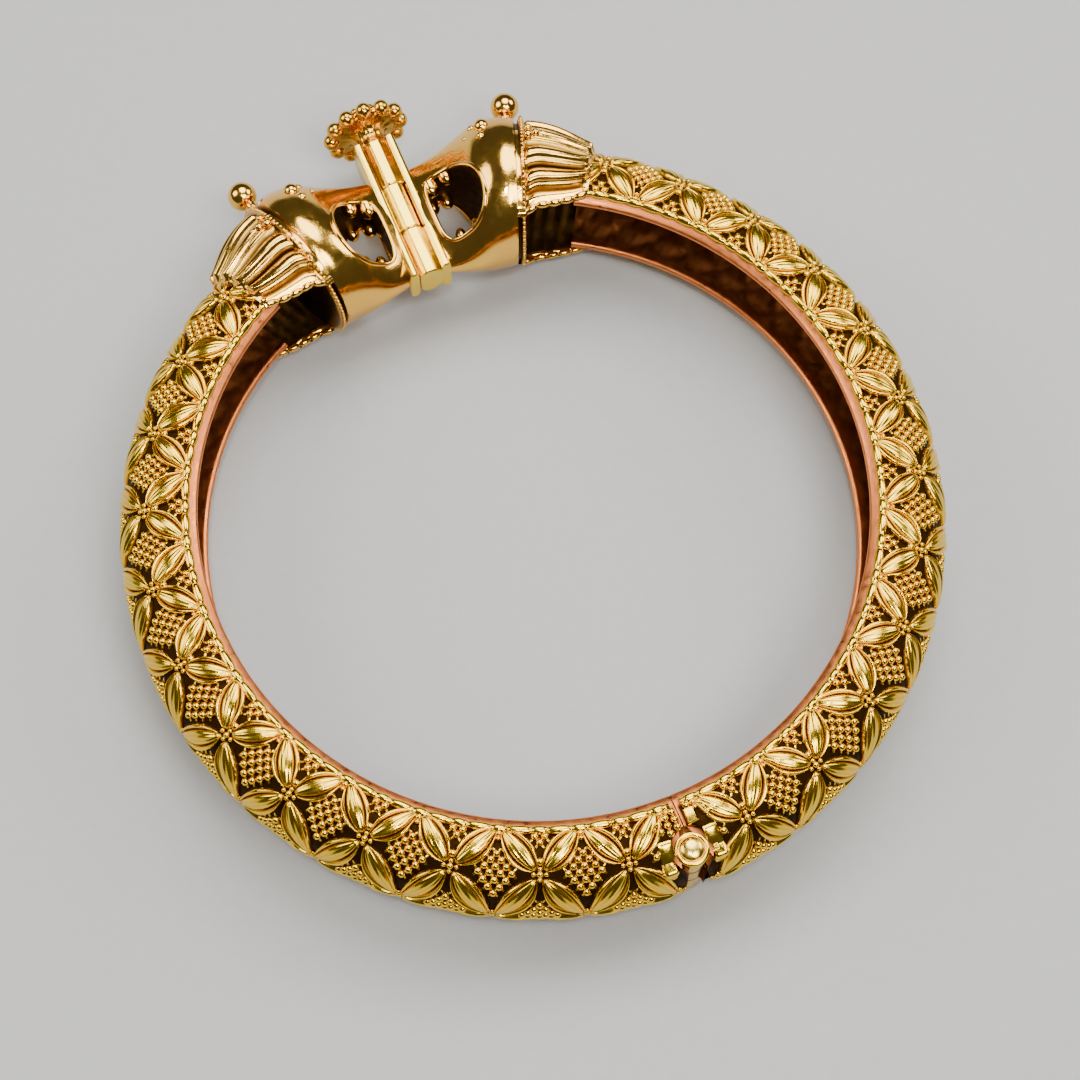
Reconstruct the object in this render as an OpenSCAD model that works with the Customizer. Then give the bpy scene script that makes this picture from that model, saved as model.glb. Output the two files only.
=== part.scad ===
// Hinged kada bangle. Two lion-headed halves swing on a pin and are closed by a flower-headed screw.
// The ring lies in the XY plane. The clasp is at +Y, the hinge at -Y, the left half at -X.

/* [Ring] */
// Radius of the wrist hole at the rims
bore_r = 30.15; // [27:0.05:34]
// How far the middle of the band's round section lies outside the wrist hole
section_in = 2.05; // [1.6:0.05:2.4]
// Outer radius of the band's round section
shell_r = 4.7; // [4.3:0.05:5.2]
// Wall of the stamped sheet
wall = 0.7; // [0.5:0.05:0.9]

/* [Petal lattice] */
// Angle round the ring between one flower and the next
pitch = 12.5; // [12:0.1:12.6]
// Angle from the hinge to the first row of nodes
lattice_start = 2.75; // [2.5:0.05:3.2]
// Flowers along each half
flower_count = 12; // [6:1:12]
// Angle round the section from the equator to the flowers
flower_v = 60; // [55:1:64]
// Angle round the section from the equator to the rim nodes
rim_v = 111; // [106:1:113]
// Width of one petal
petal_w = 2; // [1.2:0.1:2.4]
// Height of a petal's crest
petal_h = 0.55; // [0.2:0.05:0.8]
// Height of the small knob where petals meet
node_h = 0.3; // [0.1:0.05:0.5]

/* [Hinge] */
// Distance of the hinge pin from the middle of the ring
hinge_r = 34.9; // [34.4:0.1:35.2]
// Radius of the hinge barrel
barrel_r = 1.45; // [1.2:0.05:1.5]
// Half of the barrel's length
barrel_half = 3.8; // [3.5:0.1:4.3]
// Radius of the hinge pin
hinge_pin_r = 0.7; // [0.5:0.05:0.8]
// Radius of the pin's riveted ends
rivet_r = 1.05; // [0.9:0.05:1.15]
// Height of the riveted ends
rivet_h = 0.4; // [0.2:0.05:0.6]
// Angle that the hinge opens
open_angle = 50; // [30:5:50]
// Thickness of the plates beside the barrel
cheek_t = 1.3; // [0.9:0.1:1.6]
// Reach of those plates outside the pivot
cheek_out = 1.5; // [1.1:0.1:1.8]
// Least reach of those plates inside the pivot
cheek_in = 1.3; // [1:0.1:2]
// Half of those plates' height
cheek_half = 3.6; // [3.3:0.1:4]

/* [Clasp] */
// Length of the clasp barrel along the screw
clasp_len = 15.4; // [15:0.1:17]
// Distance of the barrel's inner end from the middle of the ring
clasp_in_r = 25.6; // [25:0.1:26.4]
// Height of the clasp barrel
clasp_h = 4.2; // [3.6:0.1:4.8]
// Width of the knuckles between the two strips
knuckle_w = 2.3; // [2.1:0.1:2.6]
// Thickness of each strip beside the knuckles
strip_t = 0.9; // [0.7:0.05:1.1]
// Radius of the screw
screw_r = 0.7; // [0.5:0.05:0.75]
// Radius of the flower head's disc
flower_r = 3.5; // [2.8:0.1:3.8]
// Thickness of the flower head's disc
flower_t = 1; // [0.8:0.1:1.4]
// Length of the flower head's neck
flower_neck = 1.8; // [0.8:0.1:2.2]
// Radius of the flower head's neck
flower_neck_r = 1.5; // [1.2:0.1:2]
// Beads round the flower head
bead_count = 12; // [8:1:14]
// Radius of one of those beads
bead_r = 0.7; // [0.5:0.02:0.76]

/* [Heads] */
// Half of the head's height at the cheeks
head_half = 6.8; // [6.2:0.1:7.4]
// Half of the head's depth at the cheeks, measured from wrist to outside
head_deep = 7.4; // [7:0.1:7.8]
// How far the middle of the cheeks lies outside the middle of the band
head_out = 1.35; // [0.9:0.05:1.6]
// Angle from the clasp to the beaded collar
collar_angle = 20.4; // [19.8:0.1:21]
// Angle from the clasp to the tip of the mane
mane_angle = 31.5; // [30.5:0.1:32.5]
// Angle from the clasp to the end of the band inside the mane
sleeve_angle = 29.3; // [28.6:0.1:30]
// Wall of the mane at its tip
mane_wall = 0.5; // [0.4:0.05:0.8]
// Locks of hair across the mane
lock_count = 7; // [5:1:9]
// Height of a lock
lock_h = 0.55; // [0.2:0.05:0.8]
// How strongly the locks sweep towards the lips along the neck, where 1 is straight
lock_sweep = 0.8; // [0.7:0.05:1]
// Wall of the hollow neck
neck_wall = 0.8; // [0.6:0.05:1.1]
// Radius of the ball on top of the head
finial_r = 1.4; // [1.1:0.05:1.7]
// Bare length of the ball's stalk
finial_stalk = 0.7; // [0.3:0.1:1.2]
// Angle from the clasp to the ball
finial_angle = 18.4; // [17:0.1:19]
// Radius of an eye
eye_r = 0.85; // [0.6:0.05:1.1]
// Angle from the clasp to the eyes
eye_angle = 14.6; // [13:0.1:16]
// Angle round the section to the eyes
eye_v = 48; // [30:1:60]
// Half of the mouth's length along the ring
mouth_along = 2.5; // [2.2:0.05:2.8]
// Half of the mouth's depth from wrist to outside
mouth_deep = 3.6; // [3:0.05:3.8]
// Wall between the mouth and the clasp strip
mouth_wall = 0.3; // [0.3:0.05:0.6]
// How far the mouth's middle lies inside the middle of the cheeks
mouth_in = 2.4; // [1.8:0.05:2.8]
// Length of a tooth
tooth_len = 1.3; // [0.8:0.1:1.6]

/* [Fits] */
// Gap left round a pin in its bore
pin_gap = 0.05; // [0.03:0.01:0.08]
// Gap between neighbouring pieces
piece_gap = 0.06; // [0.04:0.01:0.12]
// Gap between the two halves
half_gap = 0.12; // [0.1:0.01:0.16]
// Gap between the clasp's knuckles
knuckle_gap = 0.1; // [0.06:0.01:0.16]
// Gap round the hinge barrel
swing_gap = 0.15; // [0.12:0.01:0.2]

/* [Hidden] */
$fn = 32;
ring_r = bore_r + section_in;
// where the round section is cut by the wrist hole
edge_v = acos(-section_in / shell_r);
clasp_out_r = clasp_in_r + clasp_len;
clasp_mid_r = (clasp_in_r + clasp_out_r) / 2;
strip_out = knuckle_w / 2 + strip_t;
knuckle_len = clasp_len / 3;
// the notch outside the pivot is this many degrees wider than the hinge opens
swing_spare = 4;
mouth_points = 24;
// how square the mouth is on the side of the clasp, where 1 is an oval
mouth_bend = 0.5;
// the teeth stand at this share of the head's half height, and the eyes at this share of its size
tooth_level = 0.33;
eye_share = 0.96;
// the stalk's radius as a share of the ball's
stalk_share = 0.45;
// the flower's inner beads, and their circle, their size and the boss as shares of the outer ones
inner_count = 8;
inner_place = 0.55;
inner_size = 0.8;
boss_share = 0.3;
// the web that joins a hinge knuckle to its plate, as a share of the barrel's radius
web_share = 1.2;
// the hinge plates reach in at least to this share of the section's radius, so that the sheet holds them
plate_seat = 0.3;
// the screw stops this far short of the barrel's inner end
pin_short = 0.3;
sheet_gold = [0.86, 0.62, 0.24];
cast_gold = [0.93, 0.74, 0.36];
pin_gold = [0.96, 0.84, 0.55];

// a point at an angle round the ring from the hinge, on the right half
function from_hinge(angle, r, z) = [r * sin(angle), -r * cos(angle), z];
// a point at an angle round the ring from the clasp, on the right half
function from_clasp(angle, r, z) = [r * sin(angle), r * cos(angle), z];
// the ring of points on one station of the band, at section angle v and radius s
function on_shell(angle, v, s) = from_hinge(angle, ring_r + s * cos(v), s * sin(v));
function flat(list) = [for (part = list) each part];

// The band. Stations stand half a pitch apart. At each one the outer points come first,
// from the lower rim up over the outside, then the inner points come back down.
half_pitch = pitch / 2;
mid_low_v = flower_v / 2;
mid_high_v = (flower_v + rim_v) / 2;
outer_v = [-edge_v, -rim_v, -mid_high_v, -flower_v, -mid_low_v, 0, mid_low_v, flower_v, mid_high_v, rim_v, edge_v];
side_steps = len(outer_v) - 1;
inner_v = [for (k = [side_steps : -1 : 0]) outer_v[k]];
ring_size = len(outer_v) + len(inner_v);
columns = 2 * round(flower_count) - 1;
end_angle = asin(half_gap / 2 / ring_r);
sleeve_end = 180 - sleeve_angle;
stations = concat([end_angle], [for (c = [0 : columns]) lattice_start + half_pitch * c],
    [180 - mane_angle, (180 - mane_angle + sleeve_end) / 2, sleeve_end]);
first_column = 1;
last_column = columns;

// the small knobs stand at flower stations on the flower rows and between them on the equator
function knob(s, k) = (s < first_column || s > last_column + 1) ? 0
    : (s % 2 == 0 && (k == 3 || k == 7)) ? node_h
    : (s % 2 == 1 && k == 5) ? node_h : 0;
function station_ring(s) = concat(
    [for (k = [0 : len(outer_v) - 1]) on_shell(stations[s], outer_v[k], shell_r + knob(s, k))],
    [for (v = inner_v) on_shell(stations[s], v, shell_r - wall)]);
function ring_index(s, k) = s * ring_size + k % ring_size;

// rows of lattice cells: low point and high point of each, and whether the flower is at the top
cell_rows = [[1, 3, true], [3, 5, false], [5, 7, true], [7, 9, false]];
// columns of a petal's outline: how far along it, and how far across in half widths
petal_outline = [[0.07, 0], [0.3, 1], [0.68, 0.95], [0.95, 0], [0.68, -0.95], [0.3, -1]];
petal_crest = [[0.28, 0], [0.72, 0]];

// lean is 1 where the petal runs from the cell's low left corner to its high right one
function cell_lean(s, row) = ((s % 2 == 1) == row[2]) ? 1 : -1;
function petal_point(s, row, along, across, h) =
    let (lean = cell_lean(s, row),
        low = outer_v[row[0]],
        high = outer_v[row[1]],
        // the petal grows from its flower, which is at the top or at the bottom of the row
        rise = row[2] ? 1 - along : along,
        mid_r = ring_r + shell_r * cos((low + high) / 2),
        wide = mid_r * half_pitch * PI / 180,
        tall = shell_r * (high - low) * PI / 180,
        slant = norm([wide, tall]),
        side = across * petal_w / 2,
        u = (lean > 0 ? rise : 1 - rise) + side * tall / slant / wide,
        v = rise - lean * side * wide / slant / tall)
    on_shell(stations[s] + half_pitch * u, low + (high - low) * v, shell_r + h);
petal_size = len(petal_outline) + len(petal_crest);
function petal_points(s, row) = concat(
    [for (p = petal_outline) petal_point(s, row, p[0], p[1], 0)],
    [for (p = petal_crest) petal_point(s, row, p[0], p[1], petal_h)]);
function petal_index(s, r) = len(stations) * ring_size + ((s - first_column) * len(cell_rows) + r) * petal_size;

// the flat ground on one side of a petal: from one end a, past the cell's corner c, to the other end b.
// m is the point half way up the upright edge, which touches a or b. o is the outline from a to b.
function ground(a, c, b, m, m_at_b, o) = m_at_b
    ? [[c, m, o[2]], [m, b, o[3]], [m, o[3], o[2]], [c, o[2], o[1]], [c, o[1], o[0]], [c, o[0], a]]
    : [[a, m, o[0]], [m, o[1], o[0]], [m, c, o[1]], [c, o[2], o[1]], [c, o[3], o[2]], [c, b, o[3]]];
function turned(faces) = [for (f = faces) [f[2], f[1], f[0]]];
function cell_faces(s, r) =
    let (row = cell_rows[r],
        even = s % 2 == 0,
        p = petal_index(s, r),
        o = [for (k = [0 : 5]) p + k],
        near = p + 6,
        far = p + 7,
        mid = (row[0] + row[1]) / 2,
        flower_k = row[2] ? row[1] : row[0],
        node_k = row[2] ? row[0] : row[1],
        flower_s = even ? s : s + 1,
        node_s = even ? s + 1 : s,
        flower = ring_index(flower_s, flower_k),
        meeting = ring_index(node_s, node_k),
        // the corner beside the flower's row and the one below or above the flower
        beside = [ring_index(node_s, flower_k), ring_index(node_s, mid)],
        below = [ring_index(flower_s, node_k), ring_index(flower_s, mid)],
        right = even ? beside : below,
        left = even ? below : beside,
        right_ground = ground(flower, right[0], meeting, right[1], even, [o[0], o[1], o[2], o[3]]),
        left_ground = ground(flower, left[0], meeting, left[1], !even, [o[0], o[5], o[4], o[3]]),
        roof = [[o[0], o[1], near], [o[1], o[2], far], [o[1], far, near], [o[2], o[3], far],
            [o[3], o[4], far], [o[4], o[5], near], [o[4], near, far], [o[5], o[0], near]],
        faces = concat(right_ground, turned(left_ground), roof))
    row[2] ? turned(faces) : faces;

function plain_faces(s, from, to) = flat([for (k = [from : to])
    [[ring_index(s, k), ring_index(s + 1, k), ring_index(s + 1, k + 1)],
        [ring_index(s, k), ring_index(s + 1, k + 1), ring_index(s, k + 1)]]]);
function is_lattice(s) = s >= first_column && s <= last_column;
// the cut edge of the sheet at one end, between its outer and its inner points
function end_faces(s) = flat([for (k = [0 : side_steps - 1])
    [[ring_index(s, k), ring_index(s, k + 1), ring_index(s, ring_size - 1 - k)],
        [ring_index(s, k + 1), ring_index(s, ring_size - 2 - k), ring_index(s, ring_size - 1 - k)]]]);
function band_faces() = concat(
    end_faces(0),
    turned(end_faces(len(stations) - 1)),
    flat([for (s = [0 : len(stations) - 2]) is_lattice(s)
        ? concat(plain_faces(s, 0, 0), plain_faces(s, side_steps - 1, ring_size - 1),
            flat([for (r = [0 : len(cell_rows) - 1]) cell_faces(s, r)]))
        : plain_faces(s, 0, ring_size - 1)]));
band_points = concat(
    flat([for (s = [0 : len(stations) - 1]) station_ring(s)]),
    flat([for (s = [first_column : last_column], row = cell_rows) petal_points(s, row)]));

// half of one stamped band with its petals raised, before the hinge is cut into it
module band_sheet() {
    polyhedron(band_points, [for (f = band_faces()) [for (k = [len(f) - 1 : -1 : 0]) f[k]]], convexity = 10);
}

// The hinge. Its barrel stands upright at the pivot, and its three knuckles are shared by the halves.
knuckle_third = 2 * barrel_half / 3;
notch_half = (open_angle + swing_spare) / 2;
module at_pivot() {
    translate([0, -hinge_r, 0]) children();
}
// the wedge outside the pivot that lets this half swing
module notch() {
    reach = 2 * shell_r;
    at_pivot() linear_extrude(4 * shell_r, center = true)
        polygon([[-half_gap, 0], [0, 0], [reach * tan(notch_half), -reach], [-half_gap, -reach]]);
}
module cheek_plate() {
    inner_end = min(hinge_r - cheek_in, ring_r + plate_seat * shell_r);
    outer_end = hinge_r + cheek_out;
    translate([barrel_r + swing_gap, -outer_end, -cheek_half])
        cube([cheek_t, outer_end - inner_end, 2 * cheek_half]);
}
module hinge_knuckle(third) {
    low = -barrel_half + third * knuckle_third + (third > 0 ? piece_gap / 2 : 0);
    high = -barrel_half + (third + 1) * knuckle_third - (third < 2 ? piece_gap / 2 : 0);
    web = barrel_r * web_share;
    at_pivot() translate([0, 0, low]) {
        cylinder(r = barrel_r, h = high - low);
        translate([0, -web / 2, 0]) cube([barrel_r + swing_gap + cheek_t / 2, web, high - low]);
    }
}
module band_half(thirds) {
    difference() {
        union() {
            difference() {
                union() {
                    band_sheet();
                    cheek_plate();
                }
                notch();
                at_pivot() cylinder(r = barrel_r + swing_gap, h = 4 * shell_r, center = true);
            }
            for (third = thirds) hinge_knuckle(third);
        }
        at_pivot() cylinder(r = hinge_pin_r + pin_gap, h = 4 * shell_r, center = true);
    }
}
module band_right() {
    color(sheet_gold) band_half([0, 2]);
}
module band_left() {
    color(sheet_gold) mirror([1, 0, 0]) band_half([1]);
}
module hinge_pin() {
    color(pin_gold) at_pivot() {
        cylinder(r = hinge_pin_r, h = 2 * (barrel_half + pin_gap), center = true);
        for (end = [-1, 1]) translate([0, 0, end * (barrel_half + pin_gap + rivet_h / 2)])
            cylinder(r = rivet_r, h = rivet_h, center = true);
    }
}

// The heads. Each is one loft of rings of points round the section. From the clasp strip over the muzzle
// and the cheeks to the beaded collar the rings are closed ovals. Behind the collar they are the two sides
// of a thin shell, open towards the wrist between two lips, which sleeves over the end of the band.
head_mid = ring_r + head_out;
face_start = asin((knuckle_w / 2 + strip_t / 2) / head_mid);
// columns: angle as a share of the collar's, shift outwards, depth and height as shares
face_rows = [
    [face_start / collar_angle, -0.30, 0.78, 0.31],
    [0.27, -0.22, 0.82, 0.38],
    [0.39, -0.04, 0.87, 0.48],
    [0.51, 0.26, 0.93, 0.65],
    [0.63, 0.63, 0.98, 0.85],
    [0.75, 0.90, 1.00, 0.96],
    [0.86, 1.00, 0.99, 1.00],
    [0.935, 1.00, 0.96, 0.985],
    [0.95, 1.00, 0.88, 0.90],
    [0.968, 1.00, 0.88, 0.90],
    [0.98, 1.00, 0.96, 0.98],
    [1.01, 1.00, 0.96, 0.98]];
// the skin behind the collar and the rim of the bowl lie at these shares of the cheeks' size
collar_foot = 0.9;
bowl_rim = 0.93;
// the bowl that closes the hollow neck
// columns: angle of the outer skin and of the bowl as shares of the collar's, and how far across it lies
bowl_rows = [[1.015, 0.96, 0.2], [1.02, 0.925, 0.5], [1.025, 0.955, 0.85]];
// columns: place from the collar to the tip, share of the cheeks' size, share of a lock, angle of the lips
neck_rows = [
    [0.06, 0.67, 0.4, 135],
    [0.2, 0.57, 1, 130],
    [0.4, 0.41, 1, 127],
    [0.6, 0.24, 1, 124],
    [0.8, 0.09, 0.8, 120],
    [1, 0, 0, edge_v]];
// the skin takes two steps for each one of the lining
neck_steps = 4 * round(lock_count);
lining_steps = neck_steps / 2;
ring_points = neck_steps + lining_steps + 2;
tip_r = shell_r + piece_gap + mane_wall;
sleeve_r = shell_r + piece_gap;
function between(small, large, share) = small + (large - small) * share;
// a point on an oval of the section, at an angle round the ring
function on_oval(angle, middle, deep, half, v) = from_clasp(angle, middle + deep * cos(v), half * sin(v));
// the angle round the section of step k, with the locks drawn towards the lips along the neck
function skin_v(k, lips, bend) = let (u = 2 * k / neck_steps - 1) sign(u) * lips * pow(abs(u), bend);
function lining_v(k, lips) = lips * (1 - 2 * k / lining_steps);
function wrist_v(k, lips) = between(lips, 360 - lips, (k + 1) / (lining_steps + 2));
lips_at_collar = neck_rows[0][3];

function face_ring(row) =
    let (angle = row[0] * collar_angle,
        middle = ring_r + row[1] * head_out,
        deep = row[2] * head_deep,
        half = row[3] * head_half)
    concat(
        [for (k = [0 : neck_steps]) on_oval(angle, middle, deep, half, skin_v(k, lips_at_collar, 1))],
        [for (k = [0 : lining_steps]) on_oval(angle, middle, deep, half, wrist_v(k, lips_at_collar))]);
function neck_skin(row) =
    let (angle = between(collar_angle, mane_angle, row[0]),
        middle = ring_r + row[1] * head_out,
        deep = between(tip_r, head_deep, row[1]),
        half = between(tip_r, head_half, row[1]))
    [for (k = [0 : neck_steps]) let (rib = lock_h * row[2] * (0.5 - 0.5 * cos(90 * k)))
        on_oval(angle, middle, deep + rib, half + rib, skin_v(k, row[3], between(1, lock_sweep, row[0])))];
function neck_lining(row, angle) =
    let (middle = ring_r + row[1] * head_out,
        deep = between(sleeve_r, head_deep - neck_wall, row[1]),
        half = between(sleeve_r, head_half - neck_wall, row[1]))
    [for (k = [0 : lining_steps]) on_oval(angle, middle, deep, half, lining_v(k, row[3]))];
function neck_ring(row) = concat(neck_skin(row), neck_lining(row, between(collar_angle, mane_angle, row[0])));
function bowl_ring(row) =
    let (angle = row[1] * collar_angle,
        lining = neck_lining(neck_rows[0], angle))
    concat(
        [for (k = [0 : neck_steps]) on_oval(row[0] * collar_angle, head_mid, collar_foot * head_deep,
            collar_foot * head_half, skin_v(k, lips_at_collar, 1))],
        [for (k = [0 : lining_steps])
            let (wrist = on_oval(angle, head_mid, bowl_rim * head_deep, bowl_rim * head_half,
                wrist_v(k, lips_at_collar)))
            wrist + (lining[k] - wrist) * row[2]]);
// the cut edge of the mane at its tip, where each step of the lining meets two of the skin
function tip_faces(first) = flat([for (j = [0 : lining_steps - 1])
    let (skin = first + 2 * j,
        lining = first + neck_steps + 1 + lining_steps - j)
    [[skin, lining, skin + 1], [skin + 1, lining, lining - 1], [skin + 1, lining - 1, skin + 2]]]);
// a closed skin over rings of points, each ring with the same number of them
function loft_faces(rings, n) = concat(
    [[for (k = [0 : n - 1]) k]],
    tip_faces((rings - 1) * n),
    flat([for (i = [0 : rings - 2], k = [0 : n - 1])
        [[i * n + k, (i + 1) * n + k, (i + 1) * n + (k + 1) % n],
            [i * n + k, (i + 1) * n + (k + 1) % n, i * n + (k + 1) % n]]]));
module head_form() {
    rings = concat([for (row = face_rows) face_ring(row)], [for (row = bowl_rows) bowl_ring(row)],
        [for (row = neck_rows) neck_ring(row)]);
    polyhedron(flat(rings), loft_faces(len(rings), ring_points), convexity = 8);
}

// The mouth is a hole through the muzzle, square towards the clasp and round behind, with teeth along
// both jaws.
mouth_x = strip_out + mouth_wall + mouth_along;
mouth_y = head_mid - mouth_in;
module mouth_hole() {
    linear_extrude(4 * head_half, center = true)
        polygon([for (k = [0 : mouth_points - 1])
            let (a = 360 * k / mouth_points,
                bend = cos(a) < 0 ? mouth_bend : 1,
                along = sign(cos(a)) * pow(abs(cos(a)), bend),
                across = sign(sin(a)) * pow(abs(sin(a)), bend))
            [mouth_x + mouth_along * along, mouth_y + mouth_deep * across]]);
}
// how far the mouth's edge lies from its middle line at a place along it, as a share of its depth
function mouth_edge(place) = let (bend = place < 0 ? mouth_bend : 1)
    pow(1 - pow(abs(place), 2 / bend), bend / 2);
// columns: place along the mouth from the clasp, and whether the tooth is in the outer jaw
teeth = [[-0.5, 1], [0.1, 1], [-0.45, -1], [0.15, -1]];
// how deep a tooth is rooted, and its radius at the foot and at the tip, as shares of its length
tooth_root = 0.25;
tooth_foot = 0.42;
tooth_tip = 0.08;
module tooth(place, jaw) {
    root = mouth_y + jaw * (mouth_deep * mouth_edge(place) + tooth_root * tooth_len);
    for (level = [-1, 1]) translate([mouth_x + place * mouth_along, root, level * tooth_level * head_half])
        rotate([jaw * 90, 0, 0]) cylinder(r1 = tooth_foot * tooth_len, r2 = tooth_tip * tooth_len,
            h = (1 + tooth_root) * tooth_len);
}
module eye() {
    for (level = [-1, 1]) translate(from_clasp(eye_angle, head_mid + eye_share * head_deep * cos(eye_v),
        level * eye_share * head_half * sin(eye_v))) sphere(r = eye_r);
}
module finial() {
    foot = head_mid + head_deep * collar_foot;
    ball = head_mid + head_deep + finial_stalk + finial_r;
    rotate([0, 0, -finial_angle]) {
        translate([0, foot, 0]) rotate([-90, 0, 0]) cylinder(r = finial_r * stalk_share, h = ball - foot);
        translate([0, ball, 0]) sphere(r = finial_r);
    }
}
// the strip beside the clasp with this half's knuckles, counted outwards from the wrist
module clasp_side(knuckles) {
    translate([knuckle_w / 2, clasp_in_r, -clasp_h / 2]) cube([strip_t, clasp_len, clasp_h]);
    for (k = knuckles) {
        low = clasp_in_r + k * knuckle_len + (k > 0 ? knuckle_gap / 2 : 0);
        high = clasp_in_r + (k + 1) * knuckle_len - (k < 2 ? knuckle_gap / 2 : 0);
        translate([knuckle_gap - knuckle_w / 2, low, -clasp_h / 2])
            cube([knuckle_w + strip_t / 2 - knuckle_gap, high - low, clasp_h]);
    }
}
module along_screw() {
    translate([0, clasp_in_r, 0]) rotate([-90, 0, 0]) children();
}
module head_half(knuckles) {
    difference() {
        union() {
            difference() {
                head_form();
                mouth_hole();
            }
            clasp_side(knuckles);
            for (row = teeth) tooth(row[0], row[1]);
            eye();
            finial();
        }
        along_screw() translate([0, 0, -1]) cylinder(r = screw_r + pin_gap, h = clasp_len + 2);
    }
}
module head_right() {
    color(cast_gold) head_half([0, 2]);
}
module head_left() {
    color(cast_gold) mirror([1, 0, 0]) head_half([1]);
}

// The screw: a plain pin in the knuckles, and the flower that caps it.
module clasp_pin() {
    color(pin_gold) along_screw() translate([0, 0, pin_short])
        cylinder(r = screw_r, h = clasp_len - pin_short + piece_gap + flower_neck + flower_t / 2);
}
module ring_of_beads(count, radius, size, level) {
    for (k = [0 : count - 1]) rotate([0, 0, 360 * k / count])
        translate([radius, 0, level]) sphere(r = size);
}
module clasp_flower() {
    color(cast_gold) along_screw() translate([0, 0, clasp_len + piece_gap]) difference() {
        union() {
            cylinder(r = flower_neck_r, h = flower_neck + flower_t / 2);
            translate([0, 0, flower_neck]) {
                cylinder(r = flower_r, h = flower_t);
                ring_of_beads(bead_count, flower_r, bead_r, flower_t / 2);
                ring_of_beads(inner_count, flower_r * inner_place, bead_r * inner_size, flower_t);
                translate([0, 0, flower_t]) sphere(r = flower_r * boss_share);
            }
        }
        translate([0, 0, -1]) cylinder(r = screw_r + pin_gap, h = 1 + flower_neck + flower_t / 2 + pin_gap);
    }
}

band_left();
band_right();
head_left();
head_right();
hinge_pin();
clasp_pin();
clasp_flower();
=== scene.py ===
"""Dresses the kada bangle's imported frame: stamped band, lion heads, hinge, clasp screw, floor and light.

All sizes are in millimetres until a mesh is filled, and angles are in degrees. The ring lies in the XY plane
with the clasp at +Y and the hinge at -Y. Shapes are worked out for the right half and mirrored for the left.
"""
import logging
import math
from dataclasses import dataclass
from enum import Enum

import bpy
import numpy as np
from mathutils import Matrix, Vector


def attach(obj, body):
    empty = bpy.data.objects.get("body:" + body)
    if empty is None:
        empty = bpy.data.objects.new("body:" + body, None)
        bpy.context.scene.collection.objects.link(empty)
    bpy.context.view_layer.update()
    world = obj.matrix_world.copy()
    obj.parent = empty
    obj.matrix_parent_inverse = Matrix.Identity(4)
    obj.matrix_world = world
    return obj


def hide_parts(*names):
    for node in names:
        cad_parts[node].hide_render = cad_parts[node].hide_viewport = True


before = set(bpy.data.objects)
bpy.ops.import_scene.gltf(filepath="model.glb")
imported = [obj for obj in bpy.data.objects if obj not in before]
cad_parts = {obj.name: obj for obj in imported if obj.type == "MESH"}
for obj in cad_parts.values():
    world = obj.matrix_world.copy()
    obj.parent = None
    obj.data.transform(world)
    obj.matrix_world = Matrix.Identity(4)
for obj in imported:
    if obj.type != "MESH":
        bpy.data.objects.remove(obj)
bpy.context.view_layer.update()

LOG = logging.getLogger("kada")
MM = 0.001
WELD_MM = 2e-5
# Name of the point attribute that marks recesses, where the finishes paint shade and dull the roughness
RECESS = "recess"

# Distance of the middle of the band's round section from the ring's centre, the section's radius, and the
# distance of the hinge's pivot
RING_R, SHELL_R, HINGE_R = 32.2, 4.7, 34.9


class Side(Enum):
    """The halves of the bangle, each with its thirds of the hinge's and the clasp's barrel.

    The hinge's thirds are counted from below and the clasp's outwards from the wrist.
    """

    RIGHT = (0, 2)
    LEFT = (1,)


@dataclass
class Surface:
    """Points and quads of one or more grids.

    Args:
        points: array (n, 3) of places in millimetres.
        quads: array (m, 4) of point numbers, anticlockwise seen from outside.
        recess: array (n,) from 0 on a crest to 1 in the bottom of a hollow. It darkens the colour there as
            painted shade, and dulls the roughness.
    """

    points: np.ndarray
    quads: np.ndarray
    recess: np.ndarray


def grids(points: np.ndarray, recess: np.ndarray | float = 0.0, closed_u: bool = False,
          closed_v: bool = False, turned: bool = False) -> Surface:
    """Quads over grids of points, with normals (step along u) x (step along v), or the opposite if turned.

    Args:
        points: array (u, v, 3) of one grid, or (copies, u, v, 3) of many.
        recess: recess values that broadcast to the grid.
        closed_u: whether the last row joins the first.
        closed_v: whether the last column joins the first.
        turned: whether the quads are turned round.

    Returns:
        The surface of all copies.
    """
    many = points if points.ndim == 4 else points[None]
    copies, rows, columns = many.shape[:3]
    i = np.arange(rows if closed_u else rows - 1)[:, None]
    j = np.arange(columns if closed_v else columns - 1)[None, :]
    next_i, next_j = (i + 1) % rows, (j + 1) % columns
    corners = [i * columns + j, next_i * columns + j, next_i * columns + next_j, i * columns + next_j]
    quads = np.stack(np.broadcast_arrays(*corners), axis=-1).reshape(-1, 4)
    if turned:
        quads = quads[:, ::-1]
    shifts = np.arange(copies)[:, None, None] * rows * columns
    tone = np.broadcast_to(recess, many.shape[:3]).reshape(-1)
    return Surface(many.reshape(-1, 3), (shifts + quads).reshape(-1, 4), tone.astype(float))


def joined(*surfaces: Surface) -> Surface:
    """One surface that holds all the given ones.

    Args:
        surfaces: what to hold.

    Returns:
        The joined surface.
    """
    shifts = np.cumsum([0] + [len(s.points) for s in surfaces[:-1]])
    return Surface(
        np.concatenate([s.points for s in surfaces]),
        np.concatenate([s.quads + shift for s, shift in zip(surfaces, shifts)]),
        np.concatenate([s.recess for s in surfaces]),
    )


def for_side(surface: Surface, side: Side) -> Surface:
    """A right half's surface carried to a side. For the left it is mirrored across x = 0, quads turned.

    Args:
        surface: the surface of the right half.
        side: where it goes.

    Returns:
        The surface itself, or its mirror image.
    """
    if side is Side.RIGHT:
        return surface
    return Surface(surface.points * [-1, 1, 1], surface.quads[:, ::-1], surface.recess)


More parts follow.
